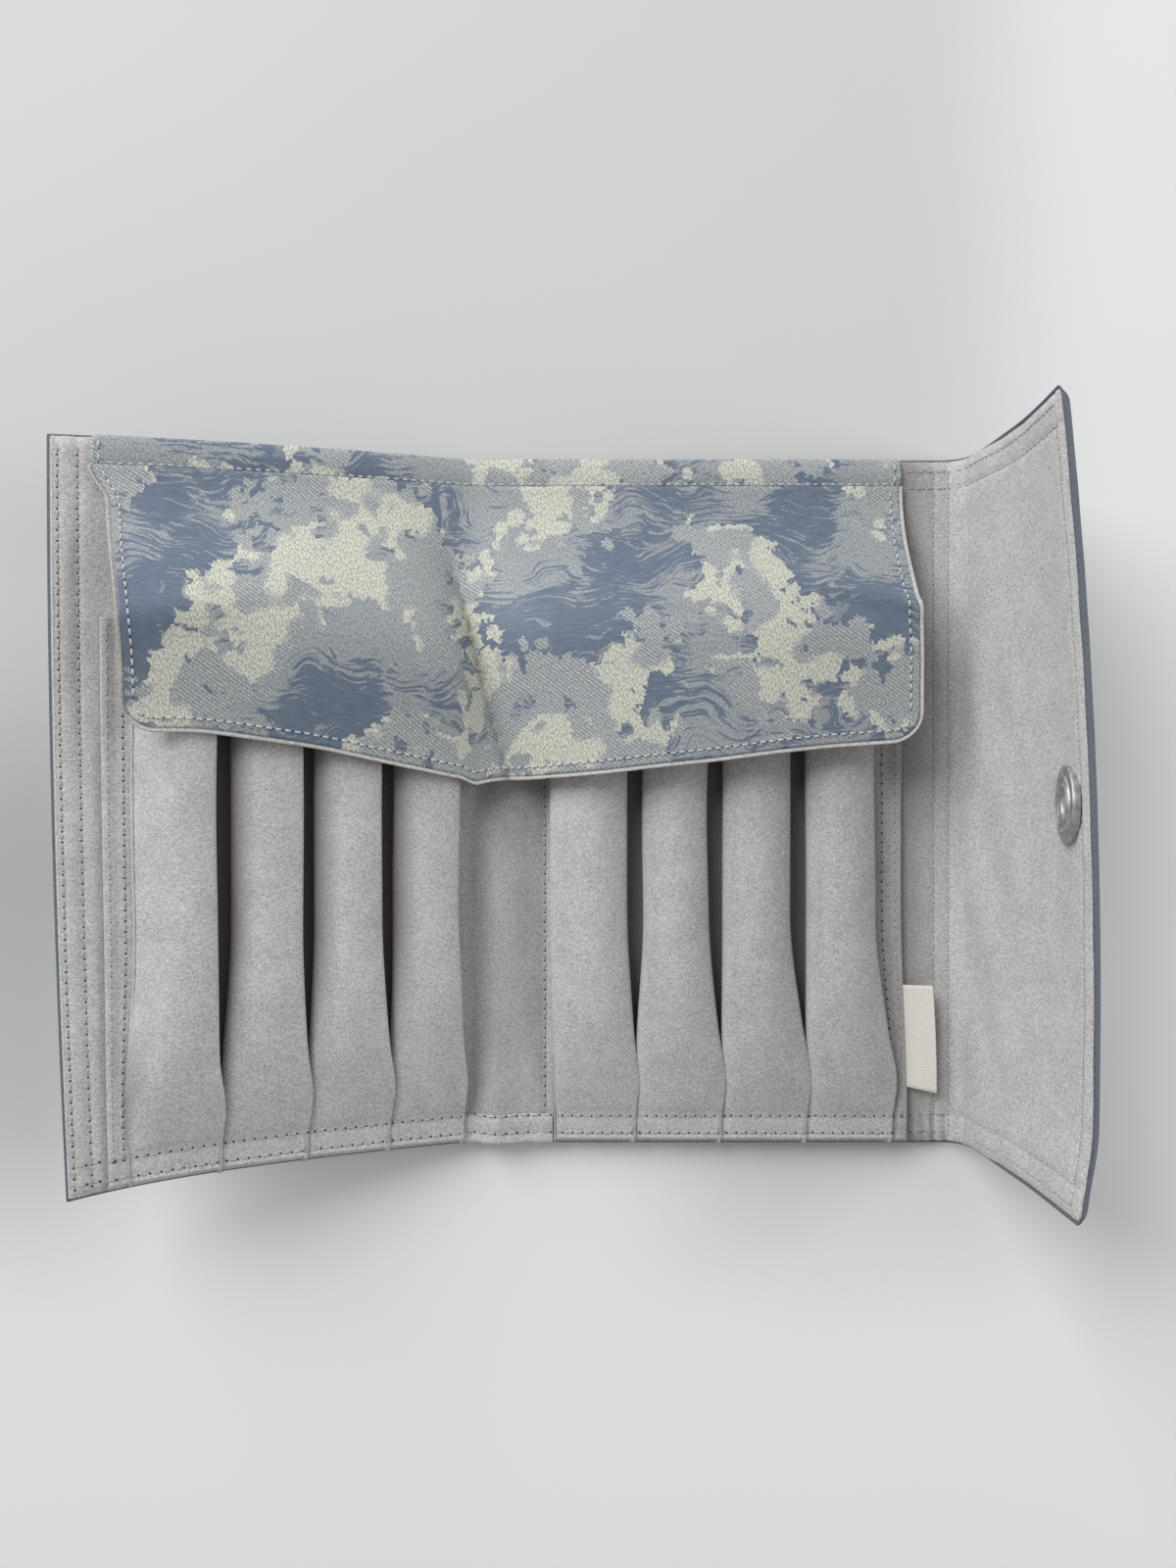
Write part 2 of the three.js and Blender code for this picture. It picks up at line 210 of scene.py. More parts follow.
# Pen flap
FLAP_SIDE_LENGTH = 72
FLAP_MIDDLE_LENGTH = 80.5
FLAP_START = 1.4
FLAP_RISE = 15.2
FLAP_FALL = {"left": 4.2, "right": 0.4}
CREASE_AT_SEAM = -87.5
CREASE_SLANT = 0.272
CREASE_WIDTH = 8
CREASE_SHARE = 0.36
FALL_REACH = 25
FLAP_COVER = 0.6
FLAP_LINING = 0.5
FLAP_GAP = 0.12
FLAP_RIM = 1.2
FLAP_CORNER_RADIUS = 7
FLAP_STITCH_INSET = 2

# One unit of the cloth's own pattern coordinates
PATTERN_UNIT = 100


def smooth(low, high, value):
    """Eased step from 0 at low to 1 at high: 3t^2 - 2t^3 of the clipped share t."""
    share = np.clip((value - low) / (high - low), 0, 1)
    return share * share * (3 - 2 * share)


def mixed(start, end, share):
    """Value between start and end."""
    return start + (end - start) * share


def ramp(distance, half_width):
    """Eased corner: 0 before it, the distance after it, and a parabola across its width."""
    inside = np.clip(distance, -half_width, half_width)
    return (inside + half_width) ** 2 / (4 * half_width) + np.maximum(distance - half_width, 0)


def ramp_slope(distance, half_width):
    """Slope of the eased corner: a straight climb from 0 to 1 across its width."""
    return np.clip((distance + half_width) / (2 * half_width), 0, 1)


def undulation(across, along, length, seed):
    """Slow cloth wave between -1 and 1: the mean of a few sines of about that length, in directions and
    phases drawn from the seed."""
    draw = np.random.default_rng(seed)
    total = 0
    for _ in range(SINES):
        turn = draw.uniform(0, 2 * np.pi)
        phase = draw.uniform(0, 2 * np.pi)
        stretch = draw.uniform(*SINE_STRETCH)
        reach = (across * np.cos(turn) + along * np.sin(turn)) / (length * stretch)
        total = total + np.sin(2 * np.pi * reach + phase) / SINES
    return total


def spaced(low, high, step, fine=()):
    """Values from low to high about a step apart, with extra ones at the fine distances from both ends."""
    count = max(2, int(round(abs(high - low) / step)) + 1)
    inward = np.sign(high - low) * np.array(fine)
    values = np.unique(np.concatenate([np.linspace(low, high, count), low + inward, high - inward]))
    return values if high > low else values[::-1]


def wrap(across, up, lift):
    """Point of the open wrap. across runs over the lining's inner face from the right panel's centre,
    up runs along Y and lift stands off that face. In X and Z the face is a broken line whose corners
    are eased: start + direction * distance + the sum over corners of the change of direction times
    the eased ramp. lift goes along its normal. The closing flap's two corners are round: near the free
    edge, up shrinks by the height of a circle's arc. The flap then moves in X: its free edge leans in
    and bows by a parabola in Y, times the square of the share of its height, with its lower corner
    curled in, and its middle bulges out by a sine. The left panel's outer end slips down with the
    square of its distance from the fold, and its lower corner draws in and curls up."""
    across, up, lift = np.broadcast_arrays(np.asarray(across, float), up, lift)
    past_arc = np.clip((across - FREE_EDGE - COVER_PROUD) / FREE_CORNER + 1, 0, 1)
    up = up * (1 - FREE_CORNER / HALF_HEIGHT * (1 - np.sqrt(1 - past_arc ** 2)))
    corners = (
        (FOLD_LEFT, LEFT_BEND, -LEFT_TILT, 0),
        (HINGE, HINGE_BEND, 0, GUSSET_TILT),
        (FLAP_FOLD, FLAP_BEND, GUSSET_TILT, FLAP_TILT),
    )
    x = FOLD_LEFT + math.cos(LEFT_TILT) * (across - FOLD_LEFT)
    z = FACE - math.sin(LEFT_TILT) * (across - FOLD_LEFT)
    run_x = np.full(across.shape, math.cos(LEFT_TILT))
    run_z = np.full(across.shape, -math.sin(LEFT_TILT))
    for place, width, before, after in corners:
        turn_x = math.cos(after) - math.cos(before)
        turn_z = math.sin(after) - math.sin(before)
        x = x + turn_x * ramp(across - place, width)
        z = z + turn_z * ramp(across - place, width)
        run_x = run_x + turn_x * ramp_slope(across - place, width)
        run_z = run_z + turn_z * ramp_slope(across - place, width)
    length = np.hypot(run_x, run_z)
    x = x - lift * run_z / length
    z = z + lift * run_x / length
    bow = FLAP_BOW * (1 - ((up - FLAP_BOW_CENTRE) / FLAP_BOW_REACH) ** 2)
    bow = bow - FLAP_LEAN - FLAP_CURL * smooth(FLAP_CURL_START, -HALF_HEIGHT, up)
    rise = np.clip((across - HINGE) / (FREE_EDGE - HINGE), 0, FLAP_SHARE_END)
    bulge = FLAP_BULGE * (1 - (up / HALF_HEIGHT) ** 2)
    x = x + bow * rise ** 2 + bulge * np.sin(np.pi * np.minimum(rise, 1) ** FLAP_BULGE_POWER)
    outward = np.clip((FOLD_LEFT - across) / LEFT_WIDTH, 0, LEFT_SHARE_END) ** 2
    corner = (outward * (0.5 - up / (2 * HALF_HEIGHT))) ** 2
    x = x + LEFT_DRAW * corner
    z = z + LEFT_CURL * corner
    return np.stack([x, up - LEFT_SLIP * outward - corner, z], axis=-1)


LAST_SQUARE = 1.001


def at(grid, row, column):
    """Points of a grid at fractional rows and columns, by straight mixing of the four around each. Places
    are kept inside the last square."""
    row = np.clip(row, 0, grid.shape[0] - LAST_SQUARE)
    column = np.clip(column, 0, grid.shape[1] - LAST_SQUARE)
    row_low, column_low = row.astype(int), column.astype(int)
    down, right = (row - row_low)[:, None], (column - column_low)[:, None]
    upper = mixed(grid[row_low, column_low], grid[row_low, column_low + 1], right)
    lower = mixed(grid[row_low + 1, column_low], grid[row_low + 1, column_low + 1], right)
    return mixed(upper, lower, down)


def grid_normals(grid):
    """Unit normals of a grid whose rows run down and columns run right: down cross right."""
    normal = np.cross(np.gradient(grid, axis=0), np.gradient(grid, axis=1))
    return normal / np.linalg.norm(normal, axis=-1, keepdims=True)


def grid_quads(rows, columns):
    """Corner numbers of a grid's squares, facing down cross right."""
    number = np.arange(rows * columns).reshape(rows, columns)
    corners = (number[:-1, :-1], number[1:, :-1], number[1:, 1:], number[:-1, 1:])
    return np.stack(corners, axis=-1).reshape(-1, 4)


# Pieces are made from points in millimetres and lists of faces. Corners past these angles stay sharp.

CLOTH_SHARP = 50
METAL_SHARP = 35
NEVER_SHARP = 180

# Share of the cloth's thickness by which the middle of a round edge stands out
ROUND_EDGE = 0.45


def add_piece(name, points, faces, finishes, pattern=None, finish_of_face=None, sharp=CLOTH_SHARP):
    """Mesh object at the origin from points in millimetres, with smooth faces and sharp corners past an
    angle. pattern gives each point's place in the cloth, or its share of painted shade, kept as the
    piece's UV map."""
    mesh = bpy.data.meshes.new(name)
    mesh.from_pydata((points * MM).tolist(), [], [list(face) for face in faces])
    if pattern is not None:
        corner_points = np.zeros(len(mesh.loops), dtype=np.int32)
        mesh.loops.foreach_get("vertex_index", corner_points)
        layer = mesh.uv_layers.new(name="cloth")
        layer.data.foreach_set("uv", (pattern[corner_points] / PATTERN_UNIT).ravel())
    if finish_of_face is not None:
        mesh.polygons.foreach_set("material_index", finish_of_face)
    mesh.shade_smooth()
    mesh.set_sharp_from_angle(angle=math.radians(sharp))
    for finish in finishes:
        mesh.materials.append(finish)
    piece = bpy.data.objects.new(name, mesh)
    bpy.context.scene.collection.objects.link(piece)
    return piece


def volume_sign(points, quads):
    """Sign of the volume inside closed squares: the sum of corner triple products."""
    first, second, third, fourth = (points[quads[:, corner]] for corner in range(4))
    return np.sign(np.sum(first * np.cross(second, third)) + np.sum(first * np.cross(third, fourth)))


def closed_cloth(name, face, back, finish, pattern=None, free=(True, True, True, True), edge=None):
    """Closed cloth between two grids. Its rim has a middle line pushed out by nearly half the cloth on the
    free sides (first row, last column, last row, first column), which makes a round edge; the other
    sides are cut flat, to meet the next cloth. edge gives a finish for the rim, and for the grids'
    squares marked in it."""
    rows, columns = face.shape[:2]
    count = rows * columns
    number = np.arange(count).reshape(rows, columns)
    first, right, last, left = (float(side) for side in free)
    rim = np.concatenate([number[0, :-1], number[:-1, -1], number[-1, :0:-1], number[:0:-1, 0]])
    outward = np.concatenate([
        first * (face[0] - face[1])[:-1],
        right * (face[:, -1] - face[:, -2])[:-1],
        last * (face[-1] - face[-2])[:0:-1],
        left * (face[:, 0] - face[:, 1])[:0:-1],
    ])
    outward = outward / np.maximum(np.linalg.norm(outward, axis=1, keepdims=True), 1e-6)
    flat_face, flat_back = face.reshape(-1, 3), back.reshape(-1, 3)
    wall = np.linalg.norm(flat_face[rim] - flat_back[rim], axis=1, keepdims=True)
    middle = (flat_face[rim] + flat_back[rim]) / 2 + outward * wall * ROUND_EDGE
    points = np.concatenate([flat_face, flat_back, middle])
    squares = grid_quads(rows, columns)
    ring = np.arange(len(rim))
    after = np.roll(ring, -1)
    faces = np.concatenate([
        squares,
        squares[:, ::-1] + count,
        np.stack([rim[ring], rim[after], 2 * count + after, 2 * count + ring], axis=1),
        np.stack([2 * count + ring, 2 * count + after, count + rim[after], count + rim[ring]], axis=1),
    ])
    if volume_sign(points, faces) < 0:
        faces = faces[:, ::-1]
    if pattern is not None:
        flat_pattern = pattern.reshape(-1, 2)
        pattern = np.concatenate([flat_pattern, flat_pattern, flat_pattern[rim]])
    if edge is None:
        return add_piece(name, points, faces, [finish], pattern)
    edge_finish, marked = edge
    finish_of_face = np.concatenate([marked.ravel(), marked.ravel(), np.ones(2 * len(rim))])
    return add_piece(name, points, faces, [finish, edge_finish], pattern, finish_of_face.astype(np.int32))


def walled_cloth(name, grid, thickness, finish, pattern):
    """Single-sided grid given its thickness on the inner side by Solidify."""
    faces = grid_quads(*grid.shape[:2])
    points, places = grid.reshape(-1, 3), pattern.reshape(-1, 2)
    piece = add_piece(name, points, faces, [finish], places, sharp=NEVER_SHARP)
    wall = piece.modifiers.new("cloth", "SOLIDIFY")
    wall.thickness = thickness * MM
    wall.offset = -1
    return piece


def turned(name, profile, centre, side, axis, finish, steps=64):
    """Turned piece: points of radius and height carried round an axis in equal steps. The profile starts
    and ends on the axis."""
    radius, height = np.array(profile, float).T
    angle = np.arange(steps) * 2 * np.pi / steps
    third = np.cross(axis, side)
    spoke = np.cos(angle)[:, None] * side + np.sin(angle)[:, None] * third
    ring = centre + radius[1:-1, None, None] * spoke + height[1:-1, None, None] * axis
    points = np.concatenate([ring.reshape(-1, 3), [centre + height[0] * axis, centre + height[-1] * axis]])
    rings = len(radius) - 2
    number = np.arange(rings * steps).reshape(rings, steps)
    beside = np.roll(number, -1, axis=1)
    quads = np.stack([number[:-1], beside[:-1], beside[1:], number[1:]], axis=-1).reshape(-1, 4)
    bottom, top = rings * steps, rings * steps + 1
    low_fan = np.stack([beside[0], number[0], np.full(steps, bottom)], axis=-1)
    high_fan = np.stack([number[-1], beside[-1], np.full(steps, top)], axis=-1)
    faces = [*quads.tolist(), *low_fan.tolist(), *high_fan.tolist()]
    return add_piece(name, points, faces, [finish], sharp=METAL_SHARP)


def sewn_places(path, normals, pitch):
    """Centres, directions and normals of stitches set a pitch apart along a path, by its length."""
    steps = np.linalg.norm(np.diff(path, axis=0), axis=1)
    length = np.concatenate([[0], np.cumsum(steps)])
    count = int(length[-1] / pitch)
    places = (np.arange(count) + 0.5) * length[-1] / count

    def along(values, where):
        """Values at lengths along the path, by straight mixing."""
        return np.stack([np.interp(where, length, values[:, axis]) for axis in range(3)], axis=1)

    centre = along(path, places)
    direction = along(path, places + pitch / 4) - along(path, places - pitch / 4)
    direction /= np.linalg.norm(direction, axis=1, keepdims=True)
    normal = along(normals, places)
    normal /= np.linalg.norm(normal, axis=1, keepdims=True)
    return centre, direction, normal


# A stitch's rings: place along it by its half length, then radius and rise by the thread's radius.
# A needle hole's lens: heights of its two poles.
RING_ALONG = np.array([-1, -0.62, 0, 0.62, 1])
RING_RADIUS = np.array([0.4, 0.9, 1, 0.9, 0.4])
RING_RISE = np.array([-0.9, 0.35, 0.7, 0.35, -0.9])
THREAD_SIDES = 6
HOLE_POLES = np.array([[0.16], [-0.1]])


def sewing(name, rows, cloth, kind=None):
    """Rows of stitches in a cloth as one piece. A stitch is a short thread: rings along its direction,
    thinner and lower at the ends, where it goes in. A needle hole is a flat lens between stitches,
    coloured with painted shade."""
    thread, hole, pitch, stitch, thread_radius, hole_radius = SEWING[kind or cloth]
    places = [sewn_places(path, normals, pitch) for path, normals in rows]
    centre, direction, normal = (np.concatenate(parts) for parts in zip(*places))
    side = np.cross(normal, direction)
    count = len(centre)
    angle = np.arange(THREAD_SIDES) * 2 * np.pi / THREAD_SIDES
    along = (RING_ALONG * stitch / 2)[None, :, None, None]
    swell = (RING_RADIUS * thread_radius)[None, :, None, None]
    rise = (RING_RISE * thread_radius)[None, :, None, None]
    round_side = np.cos(angle)[None, None, :, None]
    round_up = np.sin(angle)[None, None, :, None]
    middle, run, out, sideways = (values[:, None, None, :] for values in (centre, direction, normal, side))
    ring = swell * (round_side * sideways + round_up * out)
    thread_points = middle + along * run + ring + rise * out
    per_thread = len(RING_ALONG) * THREAD_SIDES
    number = np.arange(per_thread).reshape(len(RING_ALONG), THREAD_SIDES)
    beside = np.roll(number, -1, axis=1)
    barrel = np.stack([number[1:], beside[1:], beside[:-1], number[:-1]], axis=-1).reshape(-1, 4)
    caps = np.stack([number[0], number[-1, ::-1]])
    start = (np.arange(count) * per_thread)[:, None, None]
    barrels = (start + barrel).reshape(-1, 4)
    ends = (start + caps).reshape(-1, THREAD_SIDES)
    hole_centre = (centre + direction * pitch / 2)[:, None, :]
    brim = np.cos(angle)[:, None] * direction[:, None, :] + np.sin(angle)[:, None] * side[:, None, :]
    poles = HOLE_POLES * normal[:, None, :]
    hole_points = np.concatenate([hole_centre + hole_radius * brim, hole_centre + poles], axis=1)
    per_hole = THREAD_SIDES + 2
    rim = np.arange(THREAD_SIDES)
    following = np.roll(rim, -1)
    top, bottom = np.full(THREAD_SIDES, THREAD_SIDES), np.full(THREAD_SIDES, THREAD_SIDES + 1)
    lens = np.concatenate([np.stack([rim, following, top], 1), np.stack([following, rim, bottom], 1)])
    first_hole = count * per_thread
    lenses = (first_hole + (np.arange(count) * per_hole)[:, None, None] + lens).reshape(-1, 3)
    points = np.concatenate([thread_points.reshape(-1, 3), hole_points.reshape(-1, 3)])
    faces = [*barrels.tolist(), *ends.tolist(), *lenses.tolist()]
    finish_of_face = np.zeros(len(faces), dtype=np.int32)
    finish_of_face[len(barrels) + len(ends):] = 1
    piece = add_piece(name, points, faces, [thread, hole], finish_of_face=finish_of_face)
    return piece


# Finishes


class Tone:
    """A shader socket that takes part in arithmetic: each operator adds one Math node."""

    def __init__(self, finish, socket):
        self.finish = finish
        self.socket = socket

    def math(self, operation, first, second=0.0):
        """Tone of one Math node."""
        return self.finish.node("ShaderNodeMath", {"operation": operation}, {0: first, 1: second})

    def __add__(self, other):
        return self.math("ADD", self, other)

    def __radd__(self, other):
        return self.math("ADD", other, self)

    def __sub__(self, other):
        return self.math("SUBTRACT", self, other)

    def __rsub__(self, other):
        return self.math("SUBTRACT", other, self)

    def __mul__(self, other):
        return self.math("MULTIPLY", self, other)

    def __rmul__(self, other):
        return self.math("MULTIPLY", other, self)

    def __abs__(self):
        return self.math("ABSOLUTE", self)

    def sine(self):
        """Sine of the tone in radians."""
        return self.math("SINE", self)

    def either(self, other):
        """The larger of two tones."""
        return self.math("MAXIMUM", self, other)

    def step(self, low, high):
        """Eased step of the tone from 0 at low to 1 at high."""
        settings = {"interpolation_type": "SMOOTHSTEP"}
        return self.finish.node("ShaderNodeMapRange", settings, {"Value": self, 1: low, 2: high})


class Finish:
    """A material whose nodes are made by expressions. shade() sets the surface."""

    def __init__(self, name):
        self.material = bpy.data.materials.new(name)
        self.material.use_nodes = True
        self.tree = self.material.node_tree
        self.surface = self.tree.nodes["Principled BSDF"]

    def node(self, kind, settings=None, sockets=None, out=0):
        """Any node: its settings are set first, then its sockets get a value or a link."""
        made = self.tree.nodes.new(kind)
        for key, value in (settings or {}).items():
            setattr(made, key, value)
        for key, value in (sockets or {}).items():
            self.feed(made.inputs[key], value)
        return Tone(self, made.outputs[out])

    def feed(self, socket, value):
        """A link from a tone, or else a value of its own."""
        if isinstance(value, Tone):
            self.tree.links.new(value.socket, socket)
        else:
            socket.default_value = value

    def shade(self, sockets):
        """The surface's sockets, by their names."""
        for key, value in sockets.items():
            self.feed(self.surface.inputs[key], value)
        return self.material

    def place(self):
        """Place on the object, in metres."""
        return self.node("ShaderNodeTexCoord", out="Object")

    def cloth_place(self):
        """Place in the cloth, from the piece's UV map."""
        return self.node("ShaderNodeUVMap", {"uv_map": "cloth"})

    def stretched(self, place, scale, turn=0.0):
        """Place scaled along each axis and turned about Z."""
        return self.node("ShaderNodeMapping", {}, {
            "Vector": place, "Scale": scale, "Rotation": (0, 0, turn)})

    def noise(self, place, scale, detail, rough, out="Fac"):
        """Cloudy value about one half, or three of them as a colour."""
        return self.node("ShaderNodeTexNoise", {}, {
            "Vector": place, "Scale": scale, "Detail": detail, "Roughness": rough}, out)

    def cells(self, place, scale, out="Distance"):
        """Nearest of scattered points: the distance to it in cell widths, or its position."""
        settings = {"voronoi_dimensions": "2D"}
        return self.node("ShaderNodeTexVoronoi", settings, {"Vector": place, "Scale": scale}, out)

    def shifted(self, place, drift, amount):
        """Place moved by a colour noise times an amount."""
        settings = {"operation": "MULTIPLY_ADD"}
        return self.node("ShaderNodeVectorMath", settings, {0: drift, 1: (amount, amount, 0), 2: place})

    def mix(self, share, first, second):
        """Colour between two colours."""
        return self.node("ShaderNodeMix", {"data_type": "RGBA"}, {0: share, 6: first, 7: second}, 2)

    def part(self, vector, axis):
        """One coordinate of a place."""
        return self.node("ShaderNodeSeparateXYZ", {}, {0: vector}, axis)

    def bump(self, height, distance, strength):
        """Normal raised by a height, whose unit is a distance in millimetres."""
        return self.node("ShaderNodeBump", {}, {
            "Height": height, "Distance": distance * MM, "Strength": strength})


def linear(red, green, blue):
    """Screen colour from 0 to 255 as the linear colour that shaders take, by the sRGB curve."""
    share = np.array([red, green, blue]) / 255
    value = np.where(share <= 0.04045, share / 12.92, ((share + 0.055) / 1.055) ** 2.4)
    return (*value.tolist(), 1.0)


# Colours that more than one place uses, and those of the brocade's yarns
SUEDE_LIGHT = linear(218, 217, 215)
SUEDE_DARK = linear(167, 166, 164)
# Painted shade: the colour that shaded slots, corners and lining are mixed toward
SUEDE_PAINTED_SHADE = linear(122, 117, 116)
NICKEL = linear(208, 208, 207)
BLUE_DARK = linear(96, 109, 128)
BLUE_LIGHT = linear(120, 133, 151)
SILVER = linear(204, 206, 200)
SILVER_SHADE = linear(146, 152, 155)
CREAM_LIGHT = linear(224, 225, 212)
CREAM_SHADE = linear(160, 162, 152)

# Brocade, in units of its pattern: noise of the masses, points of lobes and pebbles, and thread pitches
MASS_NOISE = (2.5, 2, 0.5)
LOBES = 26
PEBBLES = 100
HATCH_PITCH = 0.0085
SATIN_PITCH = 0.0046

# Label, in metres
RIB_PITCH = 0.42 * MM


def suede_finish(name, painted_shade=None):
    """Brushed microfibre: two layers of short stretched strokes, a round grain and a slow mottle move the
    colour between a dark and a light tone; strokes and grain also raise the nap. With a colour of painted
    shade, the first pattern coordinate of the cloth says how much of that painted shade shows."""
    finish = Finish(name)
    place = finish.place()
    strokes = finish.noise(finish.stretched(place, (700, 2300, 900), 0.5), 1, 3, 0.6)
    cross_strokes = finish.noise(finish.stretched(place, (2200, 800, 900), 0.2), 1, 3, 0.6)
    grain = finish.noise(place, 1900, 2, 0.6)
    mottle = finish.noise(place, 110, 3, 0.6)
    nap = strokes * 0.25 + cross_strokes * 0.25 + grain * 0.5
    tone = (nap - 0.5) * 4 + (mottle - 0.5) * 0.6 + 0.5
    colour = finish.mix(tone, SUEDE_DARK, SUEDE_LIGHT)
    if painted_shade:
        # Painted shade, by the first pattern coordinate
        colour = finish.mix(finish.part(finish.cloth_place(), 0), colour, painted_shade)
    return finish.shade({
        "Base Color": colour,
        "Roughness": 0.95,
        "Specular IOR Level": 0.15,
        "Sheen Weight": 0.12,
        "Sheen Roughness": 0.5,
        "Normal": finish.bump(nap, 0.3, 0.8),
    })


def brocade_finish(name):
    """Jacquard cloth on its own coordinates, gathered first toward scattered points, which pebbles every
    border. A mass of pale yarn is a slow noise above a level, joined by discs about a second set of
    points where the noise at the disc's centre is a little lower: these are its lobes. A second noise
    parts the masses into full cream and a half-tone of bent hatching, and a third opens small gaps. On
    the satin ground a stretched and drifting noise draws groups of fine strands."""
    finish = Finish(name)
    place = finish.cloth_place()
    across = finish.part(place, 0)
    up = finish.part(place, 1)
    drift = finish.noise(place, 3.6, 2, 0.5, "Color")
    near = finish.shifted(finish.cells(place, PEBBLES, "Position"), drift, 0.12)
    far = finish.shifted(place, drift, 0.34)
    slow = finish.noise(near, *MASS_NOISE)
    slow_at_lobe = finish.noise(finish.cells(near, LOBES, "Position"), *MASS_NOISE)
    lobe = slow_at_lobe.step(0.478, 0.482) * (1 - finish.cells(near, LOBES).step(0.5, 0.53))
    gap = finish.noise(near, 15, 2, 0.5).step(0.62, 0.64)
    mass = slow.step(0.52, 0.525).either(lobe) * (1 - gap)
    half = finish.noise(near, 5.2, 2, 0.5).step(0.49, 0.52)
    hatch = ((across * 0.6 + up * 0.8) * (2 * math.pi / HATCH_PITCH) + slow * 30).sine().step(-0.5, 0.5)
    zone = finish.noise(far, 2.7, 2, 0.5)
    strand = finish.noise(finish.stretched(far, (16, 95, 1), -0.3), 1, 3, 0.7)
    strands = (zone + (strand - 0.5) * 0.7).step(0.47, 0.52) * 0.62
    cream = mass * (1 - half)
    silver = mass * half * (hatch * 0.55 + 0.45) + (1 - mass) * strands
    stitch = finish.noise(finish.stretched(place, (270, 120, 1), 0.95), 1, 2, 0.7)
    satin = ((across - up * 0.55) * (2 * math.pi / SATIN_PITCH)).sine() * 0.5 + 0.5
    slub = finish.noise(finish.stretched(place, (26, 170, 1)), 1, 2, 0.6)
    ground = finish.mix(slub.step(0.25, 0.75) * 0.7 + satin * 0.3, BLUE_DARK, BLUE_LIGHT)
    pale = finish.mix(stitch.step(0.36, 0.6), CREAM_SHADE, CREAM_LIGHT)
    grey = finish.mix(stitch.step(0.36, 0.62), SILVER_SHADE, SILVER)
    tone = finish.mix(cream, finish.mix(silver, ground, grey), pale)
    height = cream * 0.6 + silver * 0.35 + satin * 0.08 + stitch * (cream + silver * 0.5) * 0.8
    return finish.shade({
        "Base Color": tone,
        "Roughness": 0.48 + cream * 0.2,
        "Specular IOR Level": 0.3,
        "Sheen Weight": 0.1,
        "Sheen Roughness": 0.4,
        "Normal": finish.bump(height, 0.2, 0.5),
    })


def thread_finish(name, colour, shade):
    """Twisted thread, for stitches and for cut edges of brocade: fine slanted plies by a stretched noise."""
    finish = Finish(name)
    ply = finish.noise(finish.stretched(finish.place(), (3000, 5200, 3000), 0.6), 1, 1, 0.5)
    return finish.shade({
        "Base Color": finish.mix(ply.step(0.35, 0.65), shade, colour),
        "Roughness": 0.7,
        "Specular IOR Level": 0.3,
        "Normal": finish.bump(ply, 0.1, 0.5),
    })


def hole_finish(name, colour, shade):
    """Painted shade of the cloth in a needle hole, slightly mottled."""
    finish = Finish(name)
    mottle = finish.noise(finish.place(), 2400, 2, 0.5)
    return finish.shade({
        "Base Color": finish.mix(mottle, shade, colour),
        "Roughness": 0.98,
        "Specular IOR Level": 0.05,
    })


def label_finish(name):
    """Woven damask label: fine ribs across it, uneven by a stretched noise, in cream."""
    finish = Finish(name)
    place = finish.place()
    rib = (finish.part(place, 1) * (2 * math.pi / RIB_PITCH)).sine() * 0.5 + 0.5
    yarn = finish.noise(finish.stretched(place, (900, 3000, 900)), 1, 2, 0.5)
    return finish.shade({
        "Base Color": finish.mix(rib * 0.5 + yarn * 0.5, linear(214, 211, 202), linear(246, 244, 237)),
        "Roughness": 0.75,
        "Specular IOR Level": 0.25,
        "Sheen Weight": 0.15,
        "Normal": finish.bump(rib * 0.7 + yarn * 0.6, 0.12, 0.6),
    })


def metal_finish(name, light, dark):
    """Nickel-plated snap: soft tarnish moves the colour, and with fine marks also the roughness."""
    finish = Finish(name)
    place = finish.place()
    marks = finish.noise(place, 2600, 2, 0.6)
    tarnish = finish.noise(place, 380, 3, 0.6)
    return finish.shade({
        "Base Color": finish.mix(tarnish.step(0.3, 0.7), dark, light),
        "Metallic": 1.0,
        "Roughness": 0.46 + tarnish * 0.16 + marks * 0.08,
        "Normal": finish.bump(marks, 0.03, 0.3),
    })


def board_finish(name):
    """Grey fibre board: mottled fibres, by one noise."""
    finish = Finish(name)
    fibre = finish.noise(finish.place(), 900, 4, 0.6)
    return finish.shade({
        "Base Color": finish.mix(fibre, linear(112, 108, 100), linear(160, 155, 146)),
        "Roughness": 0.92,
        "Normal": finish.bump(fibre, 0.1, 0.4),
    })


SUEDE = suede_finish("grey_suede")
# Suede with painted shade, for the lining and the pocket cloths
SUEDE_WITH_PAINTED_SHADE = suede_finish("suede_with_painted_shade", SUEDE_PAINTED_SHADE)
BROCADE = brocade_finish("blue_brocade")
GREY_THREAD = thread_finish("grey_thread", linear(202, 200, 196), linear(150, 148, 145))
WHITE_THREAD = thread_finish("white_thread", linear(226, 227, 226), linear(176, 178, 182))
# Needle holes: painted shade
GREY_HOLE = hole_finish("grey_needle_hole", linear(98, 96, 93), linear(62, 60, 58))
FAINT_HOLE = hole_finish("faint_needle_hole", linear(146, 144, 141), linear(116, 114, 111))
BLUE_HOLE = hole_finish("blue_needle_hole", linear(70, 78, 100), linear(44, 50, 66))
# Dark cut edge of the brocade: partly its plain weave, partly painted shade
BROCADE_EDGE_AND_SHADE = thread_finish("brocade_edge_and_shade", linear(116, 123, 133), linear(82, 88, 97))
LABEL = label_finish("woven_label")
METAL = metal_finish("snap_nickel", NICKEL, linear(170, 170, 169))
BRIGHT_METAL = metal_finish("snap_bright_nickel", linear(232, 232, 231), NICKEL)
BOARD = board_finish("fibre_board")

